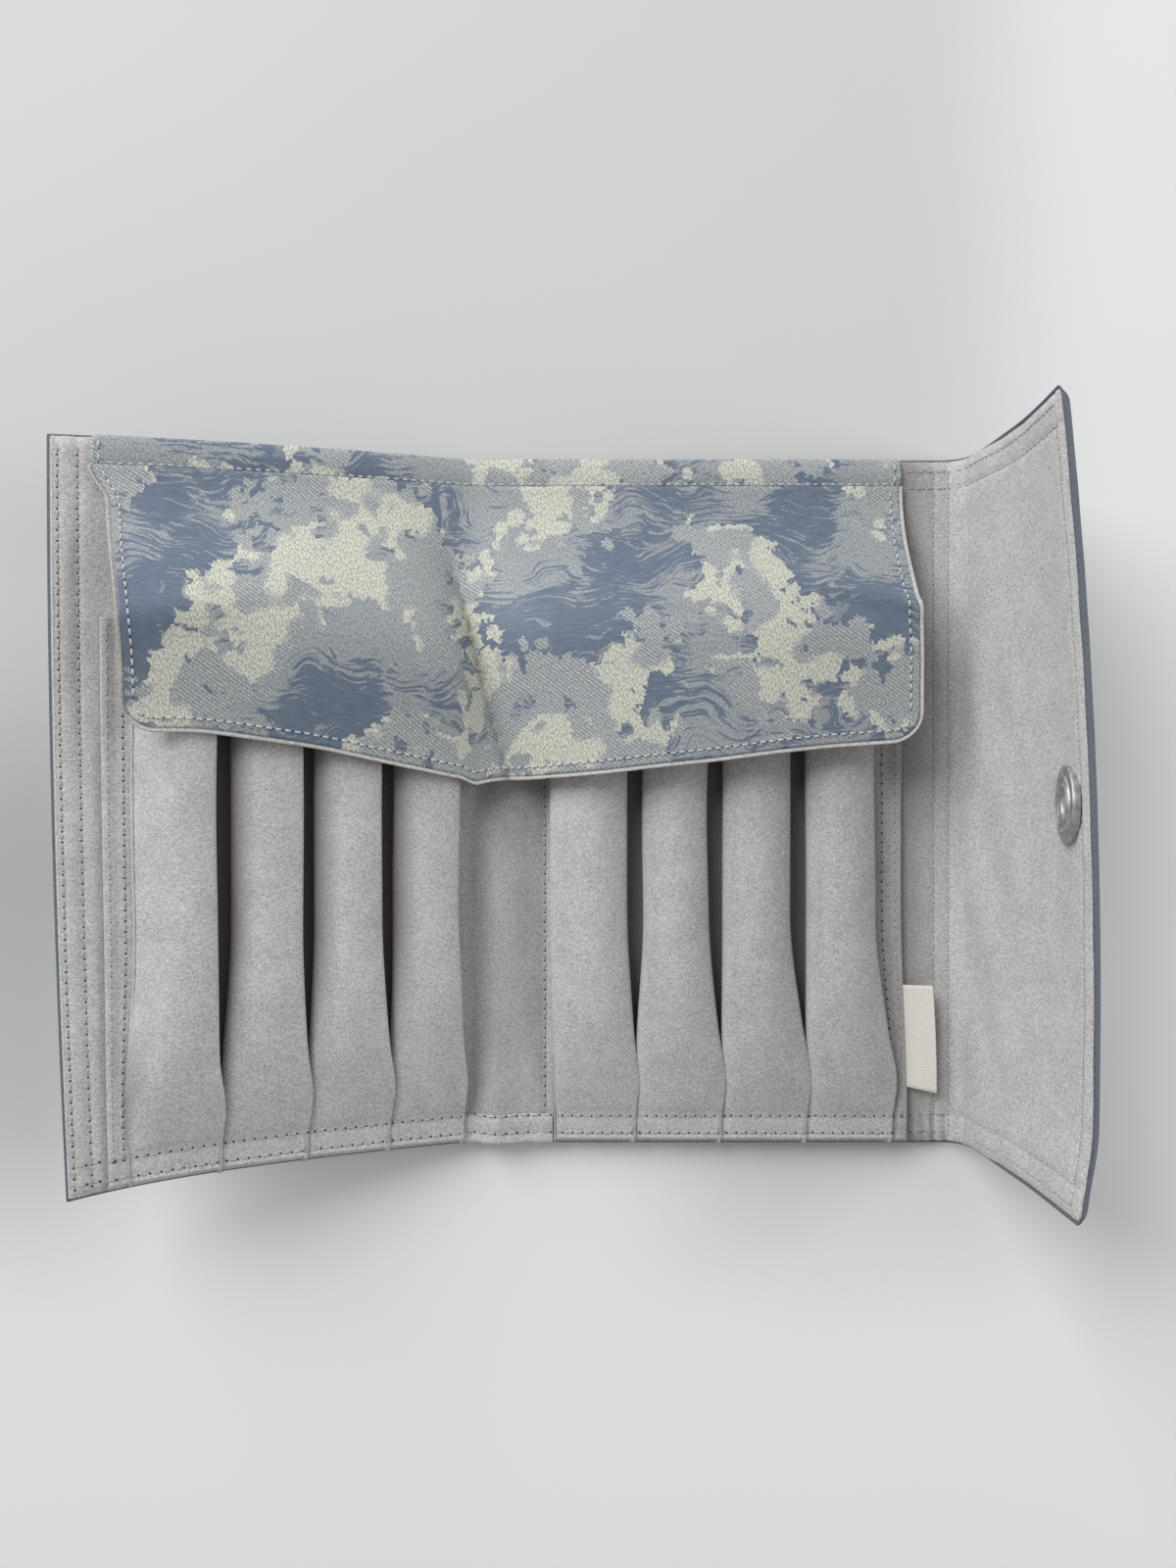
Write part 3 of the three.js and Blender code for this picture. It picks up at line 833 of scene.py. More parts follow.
# Thread, hole, pitch, stitch length, thread radius and hole radius of each kind of sewing
SEWING = {
    "suede": (GREY_THREAD, GREY_HOLE, 2.6, 1.8, 0.17, 0.36),
    "faint": (GREY_THREAD, FAINT_HOLE, 2.6, 1.8, 0.15, 0.28),
    "brocade": (WHITE_THREAD, BLUE_HOLE, 2.3, 1.7, 0.27, 0.25),
}


# Strips of cloth that run across the folds. Each has its two ends across the wrap, the two bodies it bends
# between, its fold, and half the width of the bend, negative where the first body lies on the right.

STRIPS = {
    "left": (LEFT_EDGE, SPINE_MIDDLE, "spine", "left_panel", FOLD_LEFT, -FOLD_EASE),
    "right_inner": (SPINE_MIDDLE, 0, "right_panel", "spine", FOLD_RIGHT, -FOLD_EASE),
    "right_outer": (0, GUSSET_MIDDLE, "right_panel", "gusset", HINGE, HINGE_BEND),
    "closing": (GUSSET_MIDDLE, FREE_EDGE, "gusset", "closing_flap", FLAP_FOLD, FLAP_BEND),
}


def bend(piece, strip):
    """Bakes a piece's transform into its mesh; the points at both ends of its strip's bend are worked out
    but not used.
    """
    _, _, first, second, fold, ease = STRIPS[strip]
    start, end = wrap(fold - ease, 0.0, 0.0), wrap(fold + ease, 0.0, 0.0)
    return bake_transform(piece)


SOFT_MARGIN = 1


def softness(across):
    """1 on the spine and the gusset, which have no board, easing to 0 on the panels."""
    total = 0
    for low, high in ((FOLD_LEFT, FOLD_RIGHT), (HINGE, FLAP_FOLD)):
        start = smooth(low - BOARD_MARGIN, low + SOFT_MARGIN, across)
        total = total + start * (1 - smooth(high - SOFT_MARGIN, high + BOARD_MARGIN, across))
    return total


# Waves of the soft strips, and the arch of the spine with the span of Y where it fades
RIPPLE = 0.45
RIPPLE_LENGTH = 13
RIPPLE_STRETCH = 0.5
SPINE_ARCH = 2
ARCH_RISE = (0, 0.4)
ARCH_FALL = (0.3, 1)
ARCH_FADE = (50, 78)


def ripple(across, up):
    """Small waves of the soft strips, in millimetres, and an arch of the spine, steeper on its left."""
    share = (across - FOLD_LEFT) / (FOLD_RIGHT - FOLD_LEFT)
    arch = smooth(*ARCH_RISE, share) * (1 - smooth(*ARCH_FALL, share)) * (1 - smooth(*ARCH_FADE, up))
    waves = undulation(across, up * RIPPLE_STRETCH, RIPPLE_LENGTH, SEEDS["soft strips"])
    return softness(across) * RIPPLE * waves + SPINE_ARCH * arch


def edge_distance(across, up, grown):
    """Distance from the wrap's outer edge, moved out by the grown length."""
    sides = np.minimum(across - LEFT_EDGE, FREE_EDGE - across)
    return np.minimum(HALF_HEIGHT - LINING_INSET - np.abs(up), sides) + grown


# Stitch rows on the lining, by their place on the wrap, and the grooves that they pull into cloth
LEFT_ROWS = (LEFT_EDGE + 1.6, LEFT_EDGE + 6.1)
SPINE_ROW = FOLD_RIGHT - 0.6
HINGE_ROWS = (HINGE - 6.4, HINGE - 2.3)
FREE_ROW = FREE_EDGE - 4
UPRIGHT_ROWS = (*LEFT_ROWS, SPINE_ROW, *HINGE_ROWS, FREE_ROW)
TOP_ROWS = tuple(-row for row in HEM_ROWS)
GROOVE = np.array([-1.2, -0.5, 0, 0.5, 1.2])
ROW_DEPTH = 0.35
ROW_WIDTH = 0.9
HEM_ROW_DEPTH = 0.3
POCKET_ROW_WIDTH = 0.8
SPINE_ROW_DEPTH = 0.5
SPINE_ROW_WIDTH = 1.4

# Steps of the layers' grids, and the finer lines near their ends
STRIP_STEP = {"left": 1.8, "right_inner": 1.8, "right_outer": 0.9, "closing": 1.8}
UP_STEP = 1.9
EDGE_FINE = (0.3, 0.7, 1.2, 1.9, 2.7, 3.6)
FROM_ENDS = 0.2
FROM_OTHERS = 0.12


def with_rows(values, rows):
    """Values with more about each stitch row between their ends, so that its groove has a form. New ones
    that come too near the others are left out."""
    more = (np.array(rows)[:, None] + GROOVE).ravel()
    more = more[(more > values[0] + FROM_ENDS) & (more < values[-1] - FROM_ENDS)]
    apart = np.min(np.abs(more[:, None] - values), axis=1)
    return np.sort(np.concatenate([values, more[apart > FROM_OTHERS]]))


def strip_axes(strip, grown):
    """Across and up values of a strip's grid, denser at the wrap's outer edges and at the stitch rows."""
    low, high = STRIPS[strip][:2]
    low = low - grown if strip == "left" else low
    high = high + grown if strip == "closing" else high
    top = HALF_HEIGHT - LINING_INSET + grown
    across = with_rows(spaced(low, high, STRIP_STEP[strip], EDGE_FINE), UPRIGHT_ROWS)
    up = with_rows(spaced(-top, top, UP_STEP, EDGE_FINE), (*HEM_ROWS, *TOP_ROWS))
    return np.meshgrid(across, up[::-1])


def free_sides(strip):
    """Sides of a strip's grid that lie on the wrap's outer edge: top, right, bottom and left."""
    return True, strip == "closing", True, strip == "left"


def row_dip(distance, depth=ROW_DEPTH, width=ROW_WIDTH):
    """Groove that a row of stitches pulls into the cloth: a bell curve across the row."""
    return depth * np.exp(-((distance / width) ** 2))


# Lining: stitch rows past the hinge, turned edge, slack, puckers at the hem beside the hinge, and its
# painted shade, with the spans over which each of them starts and ends
PAST_HINGE_START = (HINGE - 4, HINGE)
LINING_TURN = 0.45
LINING_TURN_WIDTH = 1.6
LINING_SLACK = 0.16
LINING_SLACK_LENGTH = 24
PUCKER = 0.3
PUCKER_START = (BAND_RIGHT + 1, BAND_RIGHT + 4)
PUCKER_END = (HINGE - 3, HINGE)
PUCKER_SPAN = (-80, -87)
PUCKER_PACE = 2.1
PUCKER_SLANT = 0.12
SHADE_BY_SLEEVE = 0.65
SHADE_BY_SLEEVE_START = (0, 20)
SHADE_BY_SLEEVE_END = (BAND_RIGHT - 1, HINGE - 2)
SHADE_ON_SPINE = 0.22
SHADE_ON_SPINE_START = (FOLD_LEFT, FOLD_LEFT + 6)
SHADE_ON_SPINE_END = (FOLD_RIGHT - 3, FOLD_RIGHT + 3)
SHADE_BY_FLAP = 0.3
SHADE_BY_FLAP_SPAN = (-20, 2)


def lining_lift(across, up):
    """Lining's inner face: flat, with the waves of the soft strips, a slow slack, a groove at each stitch
    row, small puckers at the hem beside the hinge, which are a sine, and an edge that turns down."""
    rows = sum(row_dip(across - row) for row in (*LEFT_ROWS, *HINGE_ROWS, FREE_ROW))
    rows = rows + row_dip(across - SPINE_ROW, SPINE_ROW_DEPTH, SPINE_ROW_WIDTH)
    past_hinge = smooth(*PAST_HINGE_START, across)
    rows = rows + past_hinge * row_dip(np.abs(up) - TOP_ROWS[0], HEM_ROW_DEPTH)
    from_edge = edge_distance(across, up, -LINING_DRAWN)
    turn = LINING_TURN * (1 - smooth(0, LINING_TURN_WIDTH, from_edge))
    slack = LINING_SLACK * undulation(across, up, LINING_SLACK_LENGTH, SEEDS["lining"])
    by_hinge = smooth(*PUCKER_START, across) * (1 - smooth(*PUCKER_END, across))
    folds = np.sin(across * PUCKER_PACE + up * PUCKER_SLANT)
    pucker = PUCKER * by_hinge * smooth(*PUCKER_SPAN, up) * folds
    return ripple(across, up) + slack + pucker - rows - turn


def lining_painted_shade(across, up):
    """Painted shade on the lining: most beside the last sleeve, easing off to the hinge, and less on the
    spine, where it grows toward the pen flap's free edge."""
    by_sleeve = smooth(*SHADE_BY_SLEEVE_START, across) * (1 - smooth(*SHADE_BY_SLEEVE_END, across))
    spine = smooth(*SHADE_ON_SPINE_START, across) * (1 - smooth(*SHADE_ON_SPINE_END, across))
    by_flap = smooth(*SHADE_BY_FLAP_SPAN, up)
    return SHADE_BY_SLEEVE * by_sleeve + spine * (SHADE_ON_SPINE + SHADE_BY_FLAP * by_flap)


def make_lining(strip):
    """Lining of one strip: its inner face and the same face a cloth lower. Gives it with its flat size."""
    across, up = strip_axes(strip, -LINING_DRAWN)
    lift = lining_lift(across, up)
    # The painted shade goes into the first pattern coordinate
    pattern = np.stack([lining_painted_shade(across, up), 0 * up], axis=-1) * PATTERN_UNIT
    piece = closed_cloth(f"lining_cloth_{strip}", wrap(across, up, lift), wrap(across, up, lift - CLOTH),
                         SUEDE_WITH_PAINTED_SHADE, pattern, free_sides(strip))
    return piece, (np.ptp(across), np.ptp(up))


COVER_SLACK = 0.1
COVER_SLACK_LENGTH = 30
MARK_MARGIN = 0.01


def cover_lift(across, up, grown):
    """Cover's outer face: under the board on a panel, close to the lining on the soft strips, with a slow
    slack, rolled up to the lining's edge all round, and turned out again at its own rim."""
    flat = mixed(COVER_LOW, SOFT_COVER_LOW, softness(across)) + ripple(across, up)
    slack = COVER_SLACK * undulation(across, up, COVER_SLACK_LENGTH, SEEDS["cover"])
    distance = edge_distance(across, up, grown)
    roll = 1 - smooth(0, EDGE_ROLL, distance)
    rim = 1 - smooth(0, grown + LINING_INSET, distance)
    turn = mixed(RIM_TURN, FREE_RIM_TURN, smooth(HINGE, FLAP_FOLD, across))
    return mixed(flat + np.abs(slack), ROLLED_EDGE, roll) - turn * rim


def make_cover(strip):
    """Cover of one strip: its outer face and the same face a cloth higher, thinner at the rolled edge. The
    rim, and the whole roll at the free edge, get the edge's finish, which is partly the cut edge's own
    dark weave and partly painted shade. Gives it with its flat size."""
    across, up = strip_axes(strip, COVER_PROUD)
    lift = cover_lift(across, up, COVER_PROUD)
    from_edge = edge_distance(across, up, COVER_PROUD)
    wall = mixed(ROLLED_CLOTH, CLOTH, smooth(0, EDGE_ROLL, from_edge))
    pattern = np.stack([across, up], axis=-1)
    near = from_edge < COVER_PROUD + MARK_MARGIN
    near = near | (across > FREE_EDGE + COVER_PROUD - EDGE_ROLL - MARK_MARGIN)
    marked = near[1:, 1:] & near[:-1, 1:] & near[1:, :-1] & near[:-1, :-1]
    piece = closed_cloth(f"cover_cloth_{strip}", wrap(across, up, lift), wrap(across, up, lift + wall),
                         BROCADE, pattern, free_sides(strip), (BROCADE_EDGE_AND_SHADE, marked))
    return piece, (np.ptp(across), np.ptp(up))


def declare_sheet(piece, size, held, rests_on, finish_slot, *nodes):
    """Hides the solids that a cloth stands for; its flat size is only scaled to metres and dropped. The
    piece, what holds it, what it rests on and its finish slot are not used.
    """
    size[0] * MM
    size[1] * MM
    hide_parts(*nodes)


# Each strip's board and the ends of the names of the nodes that it stands for
LAYERS = {
    "left": ("board_left", ("left",)),
    "right_inner": ("board_right", ("spine",)),
    "right_outer": ("board_right", ("right", "gusset")),
    "closing": ("board_flap", ("flap",)),
}
BOARDS = {
    "left": (LEFT_EDGE, FOLD_LEFT, "left_panel"),
    "right": (FOLD_RIGHT, HINGE, "right_panel"),
    "flap": (FLAP_FOLD, FREE_EDGE, "closing_flap"),
}
BOARD_STEP = 4


def make_boards():
    """Thin boards between cover and lining, which follow the wrap's own surface."""
    for side, (low, high, body) in BOARDS.items():
        end = HALF_HEIGHT - BOARD_MARGIN
        columns = spaced(low + BOARD_MARGIN, high - BOARD_MARGIN, BOARD_STEP)
        across, up = np.meshgrid(columns, spaced(end, -end, BOARD_STEP))
        face, back = wrap(across, up, BOARD_HIGH), wrap(across, up, BOARD_LOW)
        piece = closed_cloth(f"board_{side}", face, back, BOARD, free=(False, False, False, False))
        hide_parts(f"stiffener_{side}")
        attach(piece, body)


def make_wrap_layers():
    """Lining and cover of every strip, bending over its fold."""
    for strip, (board, suffixes) in LAYERS.items():
        lining, size = make_lining(strip)
        declare_sheet(lining, size, "laid", [board], "suede", *[f"lining_{end}" for end in suffixes])
        bend(lining, strip)
        cover, size = make_cover(strip)
        declare_sheet(cover, size, "stretched", [board], "brocade", *[f"cover_{end}" for end in suffixes])
        bend(cover, strip)


# Band along the top edge and hem of the spine

BAND_LOW = SEAM + 0.15
BAND_TOP = HALF_HEIGHT - LINING_INSET + 0.2
BAND_STEP = 1.6
BAND_FINE = (0.4, 1)
BAND_UP_STEP = 0.7
BAND_BACK = 0.15
BAND_SEAM_LIFT = 0.75
BAND_CROWN_START = 0.12
BAND_CROWN_REACH = 0.9
BAND_CROWN_POWER = 0.7
BAND_PUFF = 1.5
BAND_WAVE = 0.12
BAND_WAVE_LENGTH = 9
BAND_PATTERN_SHIFT = 13
BAND_TURNING = 3
SPINE_HEM_LEFT = FOLD_LEFT - 1.2
SPINE_HEM_RIGHT = FOLD_RIGHT + 1.5
SPINE_HEM_TOP = HEM_TOP + 0.3
SPINE_HEM_LOW = -HALF_HEIGHT + 0.8
SPINE_HEM_STEP = 0.6
SPINE_HEM_LIFT = 1.25
SPINE_HEM_CLOTH = 0.85
SPINE_HEM_WAVE = 0.3
SPINE_HEM_WAVE_LENGTH = 7
SPINE_HEM_WAVE_STRETCH = (1.6, 0.35)
HEM_TURNING = 2.7


def make_band(name, low, high, strip, free, node_names):
    """Folded strip: in section it swells from the seam, by a flattened sine, to a soft crown and rolls over
    the top edge."""
    columns = spaced(low, high, BAND_STEP, BAND_FINE)
    across, up = np.meshgrid(columns, spaced(BAND_TOP, BAND_LOW, BAND_UP_STEP))
    share = (up - BAND_LOW) / (BAND_TOP - BAND_LOW)
    turn = np.pi * np.clip(share * BAND_CROWN_REACH + BAND_CROWN_START, 0, 1)
    crown = np.sin(turn) ** BAND_CROWN_POWER
    swell = BAND_SEAM_LIFT + (BAND_PUFF - BAND_SEAM_LIFT) * crown
    waves = BAND_WAVE * undulation(across, up, BAND_WAVE_LENGTH, SEEDS["band"])
    face = wrap(across, up, swell + waves + ripple(across, up))
    back = wrap(across, up, BAND_BACK + ripple(across, up))
    pattern = np.stack([across, up + BAND_PATTERN_SHIFT], axis=-1)
    piece = closed_cloth(name, face, back, BROCADE, pattern, free)
    size = (high - low, BAND_TOP - BAND_LOW + BAND_TURNING)
    declare_sheet(piece, size, "folded", ["lining_cloth_" + strip], "brocade", *node_names)
    bend(piece, strip)


def make_spine_hem(name, low, high, strip, node_names):
    """Gathered strip along the spine's lower edge: a flat band with small upright waves."""
    down = spaced(SPINE_HEM_TOP, SPINE_HEM_LOW, SPINE_HEM_STEP)
    across, up = np.meshgrid(spaced(low, high, SPINE_HEM_STEP), down)
    wide, tall = SPINE_HEM_WAVE_STRETCH
    waves = undulation(across * wide, up * tall, SPINE_HEM_WAVE_LENGTH, SEEDS["spine hem"])
    dips = sum(row_dip(up - row, HEM_ROW_DEPTH) for row in HEM_ROWS)
    lift = SPINE_HEM_LIFT + SPINE_HEM_WAVE * waves - dips + ripple(across, up)
    face, back = wrap(across, up, lift), wrap(across, up, lift - SPINE_HEM_CLOTH)
    piece = closed_cloth(name, face, back, SUEDE, free=(True, False, True, False))
    size = (high - low, HALF_HEIGHT + HEM_TOP + HEM_TURNING)
    declare_sheet(piece, size, "gathered", ["lining_cloth_" + strip], "suede", *node_names)
    bend(piece, strip)


def make_trims():
    """Top band and spine hem, each in two halves that meet at the middle of the spine."""
    make_band("top_band_cloth_left", BAND_LEFT, SPINE_MIDDLE, "left", (True, False, True, True),
              ["top_band_left"])
    make_band("top_band_cloth_right", SPINE_MIDDLE, BAND_RIGHT, "right_inner", (True, True, True, False),
              ["top_band_spine", "top_band_right"])
    make_spine_hem("spine_hem_left", SPINE_HEM_LEFT, SPINE_MIDDLE, "left", [])
    make_spine_hem("spine_hem_right", SPINE_MIDDLE, SPINE_HEM_RIGHT, "right_inner", ["hem_spine"])


# Pocket cloths: four pleated sleeves, a border and the hem, one cloth on each side

# Points of a sleeve's section: shoulder, undercut, crown, right edge and wall
QUARTER = np.linspace(0, np.pi / 2, 9)
TIGHT_QUARTER = np.linspace(0, np.pi / 2, 5)[:-1]
CROWN = np.linspace(0, 1, 12)[1:-1]
EDGE_TURN = np.linspace(0, 1, 9)
WALL = np.linspace(0, 1, 6)[1:]
WALL_POWER = 1.5
DROP_LIMIT = 0.6


def sleeve_section(left, right, crest, flat, shoulder, ramp_share, side):
    """Section of one sleeve in every row, from foot to foot: a quarter ellipse out from the seam to the
    belly, one up the left shoulder that can be mixed with a straight ramp, a parabola over the crown
    that falls off to the right, an elliptic arc that goes on from its slope round the right edge, and a
    wall that leans back under it. flat goes from 0 on the open sleeve to 1 on the hem. Gives columns of
    place and height."""
    left, right, crest, flat = (values[:, None] for values in (left, right, crest, flat))
    shoulder = mixed(shoulder, 0.5 * (right - left), flat)
    crease = mixed(CREASE[side], HEM_CREASE, flat)
    lean = mixed(PLEAT_DEPTH, TUCK_DEPTH, flat)
    undercut = mixed(UNDERCUT, HEM_UNDERCUT, flat)
    fall = CROWN_FALL[side] * (1 - flat)
    peak = CROWN_PEAK[side]
    rise = crest - POCKET_FLOOR
    ramp_share = ramp_share * (1 - flat)
    belly = POCKET_FLOOR + mixed(BELLY * (1 - ramp_share), HEM_BELLY, flat) * rise
    climb = mixed(np.sin(QUARTER), 1 - np.cos(QUARTER), ramp_share)
    drop = np.minimum(crease * EDGE_STEEPNESS, DROP_LIMIT * (rise - fall))
    crown_start = left + shoulder
    slope = 2 * fall / ((1 - peak) * (right - crease - crown_start))
    first_turn = np.arctan(slope * crease / drop)
    turn = mixed(first_turn, np.pi / 2, EDGE_TURN)
    crown_end = right - crease * (1 - np.sin(first_turn))
    edge_foot = crest - fall - drop * np.cos(first_turn)
    place = np.concatenate([
        left + undercut * (1 - np.sin(TIGHT_QUARTER)),
        left + shoulder * (1 - np.cos(QUARTER)),
        mixed(crown_start, crown_end, CROWN),
        right - crease * (1 - np.sin(turn)),
        right - lean * WALL ** WALL_POWER,
    ], axis=1)
    height = np.concatenate([
        mixed(belly, POCKET_FLOOR, np.cos(TIGHT_QUARTER)),
        mixed(belly, crest - fall * (peak / (1 - peak)) ** 2, climb),
        crest - fall * ((CROWN - peak) / (1 - peak)) ** 2,
        edge_foot + drop * np.cos(turn),
        mixed(edge_foot, POCKET_FLOOR, WALL),
    ], axis=1)
    return place, height


# Border of a pocket: its folded turning in section, the flat cloth after it, and its painted shade
BORDER_PLACES = np.array([0.0, 0.12, 0.35, 0.8, 1.6, 2.6, 3.2])
BORDER_HEIGHTS = np.array([0.55, 1.25, 1.62, 1.75, 1.72, 1.62, POCKET_FLOOR])
BORDER_REST = np.linspace(0, 1, 8)[1:-1]
BORDER_RISE_POINTS = 2
BORDER_PAINTED_SHADE = 0.32
BORDER_GAP = 0.4


def border_section(edge, foot):
    """Flat border in every row, from its folded edge to a sleeve's foot: a short rise at the edge, the
    double cloth of the turning, then the single cloth. The rise gets full painted shade, and the rest of
    the right border, which the last sleeve shades, partial painted shade."""
    edge, foot = edge[:, None], foot[:, None]
    turn = np.sign(foot - edge)
    start = edge + turn * BORDER_PLACES[-1]
    place = np.concatenate([edge + turn * BORDER_PLACES, mixed(start, foot, BORDER_REST)], axis=1)
    section = np.concatenate([BORDER_HEIGHTS, np.full(len(BORDER_REST), POCKET_FLOOR)])
    height = np.broadcast_to(section, place.shape)
    at_rise = np.arange(place.shape[1]) < BORDER_RISE_POINTS
    # Painted shade: full on the rise, partial on the right border's flat cloth
    depth = np.where(at_rise, 1.0, BORDER_PAINTED_SHADE * (turn < 0)) + 0 * place
    return place, height, depth


POCKET_LOW = -HALF_HEIGHT + 0.75
POCKET_STEP = 1.5
POCKET_FINE = (0.4, 0.9, 1.5, 2.2)
POCKET_UPS = spaced(MOUTH, POCKET_LOW, POCKET_STEP, POCKET_FINE)


def pocket_share(up):
    """Share of the way from the mouth to the hem."""
    return np.clip((MOUTH - up) / (MOUTH - HEM_TOP), 0, 1)


def pocket_grid(side, fold, lefts, rights, tucks, border_at_mouth, border_at_hem, seed):
    """Pocket cloth's outer face. Going down, each sleeve's edges swing from their places at the mouth to
    the tuck lines at the hem, with small wobbles, and the sleeves flatten; stitch rows dent the hem, and
    its lower end rolls down. Also gives the painted shade of each point in a slot between sleeves: 1 at
    its floor and 0 near the crest, with painted shade that fades beyond the slot on the open sleeve's
    left side. The group's two outer sides get painted shade near the hem only."""
    up = POCKET_UPS
    share = pocket_share(up)
    flat = np.clip((share - FLATTENS_FROM) / (1 - FLATTENS_FROM), 0, 1) ** 2
    swing = smooth(*SWING, share)
    free = 1 - smooth(*WOBBLE_FADE, share)
    # Painted shade on the group's two outer sides, near the hem only
    near_hem = 1 - OUTER_PAINTED_SHADE_LOSS * smooth(*OUTER_PAINTED_SHADE_FALL, share)
    outer = (OUTER_PAINTED_SHADE * smooth(*OUTER_PAINTED_SHADE_RISE, share) * near_hem)[:, None]
    sections = []
    for index, (left, right) in enumerate(zip(lefts, rights)):
        wobble = WOBBLE * free * undulation(up, up * 0, WOBBLE_LENGTH, seed + index)
        left_edge = mixed(left, tucks[index], swing) + wobble * LEFT_WOBBLE
        bend_out = PLEAT_BEND * np.exp(-((share - PLEAT_BEND_AT) / PLEAT_BEND_WIDTH) ** 2)
        right_edge = mixed(right, tucks[index + 1] + TUCK_OVERLAP, swing) + wobble + bend_out
        waves = CREST_WAVE * free * undulation(up, up * 0, CREST_WAVE_LENGTH, seed + CREST_SEED_STEP + index)
        crest = mixed(SLEEVE_CRESTS[side][index], HEM_CREST, flat) + waves
        shoulder, ramp_share = SHOULDERS[side][index], SHOULDER_RAMP[side][index]
        place, height = sleeve_section(left_edge, right_edge, crest, flat, shoulder, ramp_share, side)
        # Painted shade: 1 at the slot's floor, 0 near the crest, with a fading band beyond the slot
        relative_height = (height - POCKET_FLOOR) / (crest - POCKET_FLOOR)[:, None]
        slot_top = mixed(SLOT_SHADE[side], HEM_SLOT_SHADE, flat)[:, None]
        depth = 1 - smooth(SLOT_SHADE_FLOOR, slot_top, relative_height)
        fade = (1 - smooth(0, SLOT_SHADE_FADE_WIDTH, place - left_edge[:, None])) * (1 - swing)[:, None]
        depth = np.maximum(depth, SLOT_SHADE_FADE[side] * fade)
        at_left = np.linspace(0, 1, place.shape[1]) < 0.5
        by_slot = np.where(at_left, 1 if index > 0 else outer, 1 if index + 1 < len(lefts) else outer)
        sections.append((place, height, depth * by_slot))
    border = mixed(border_at_mouth, border_at_hem, swing)
    if border_at_mouth > 0:
        columns = border_section(border, sections[-1][0][:, -1] + BORDER_GAP)
        sections.append([values[:, ::-1] for values in columns])
    else:
        sections.insert(0, border_section(border, sections[0][0][:, 0] - BORDER_GAP))
    place, height, depth = (np.concatenate(columns, axis=1) for columns in zip(*sections))
    rows = sum(row_dip(up - row, HEM_ROW_DEPTH, POCKET_ROW_WIDTH) for row in HEM_ROWS)[:, None]
    height = height - rows * np.clip((height - POCKET_CLOTH) / POCKET_CLOTH, 0, 1)
    from_end = (up - up[-1])[:, None]
    height = mixed(POCKET_END_LIFT, height, smooth(0, POCKET_END_ROLL, from_end))
    # The painted shade fades at the rolled lower end
    depth = depth * smooth(*POCKET_END_SHADE_FADE, from_end)
    return wrap(fold + place, up[:, None], height), depth


POCKET_KEPT = 0.6


def flatten(piece, body, joint, tilt, fold, raised=0.0, keep=POCKET_KEPT):
    """Lets a soft piece ride on a body and gives it a mesh of its own; the axis and anchor of a plane raised
    over the lining are worked out but not used. The joint and keep are not used.
    """
    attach(piece, body)
    axis = (math.sin(tilt), 0, math.cos(tilt))
    anchor = ((fold + raised * axis[0]) * MM, 0, (FACE + raised * axis[2]) * MM)
    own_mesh(piece)


SIDES = {
    "right": {
        "fold": FOLD_RIGHT, "lefts": RIGHT_SLEEVE_LEFTS, "rights": RIGHT_SLEEVE_RIGHTS, "tucks": RIGHT_TUCKS,
        "border_at_mouth": POCKET_EDGE + 0.6, "border_at_hem": POCKET_EDGE + 2.2, "seed": 40,
    },
    "left": {
        "fold": FOLD_LEFT, "lefts": LEFT_SLEEVE_LEFTS, "rights": LEFT_SLEEVE_RIGHTS, "tucks": LEFT_TUCKS,
        "border_at_mouth": -POCKET_EDGE + 2.4, "border_at_hem": -POCKET_EDGE + 1.9, "seed": 70,
    },
}
# Body, joint, tilt and fold line of each pocket
FOLDING = {
    "right": ("right_panel", "spine_fold", 0.0, FOLD_RIGHT),
    "left": ("left_panel", "left_fold", LEFT_TILT, FOLD_LEFT),
}
POCKET_STRIP = {"left": "left", "right": "right_inner"}
SLEEVE_NUMBERS = {"left": (1, 2, 3, 4), "right": (5, 6, 7, 8)}

# Stitch rows of a border: distance from its edge at the mouth and at the hem, and height
BORDER_ROWS = ((1.9, 1.7, 1.62), (5.4, 4.2, POCKET_FLOOR))
BORDER_ROW_TOP = MOUTH - 0.5
BORDER_ROW_POINTS = 80


def path_length(points):
    """Sum of the steps between points."""
    return np.sum(np.linalg.norm(np.diff(points, axis=0), axis=1))


def strip_row(across, up, lift):
    """Stitch row on the wrap from matching lists of places, with its normals."""
    path = wrap(across, up, lift)
    return path, wrap(across, up, lift + 1.0) - path


def upright_row(fold, at_mouth, at_hem, height):
    """Stitch row down a pocket's border, from the mouth to the hem, with its normals."""
    up = np.linspace(BORDER_ROW_TOP, HEM_TOP, BORDER_ROW_POINTS)
    across = fold + mixed(at_mouth, at_hem, smooth(*SWING, pocket_share(up)))
    return strip_row(across, up, height)


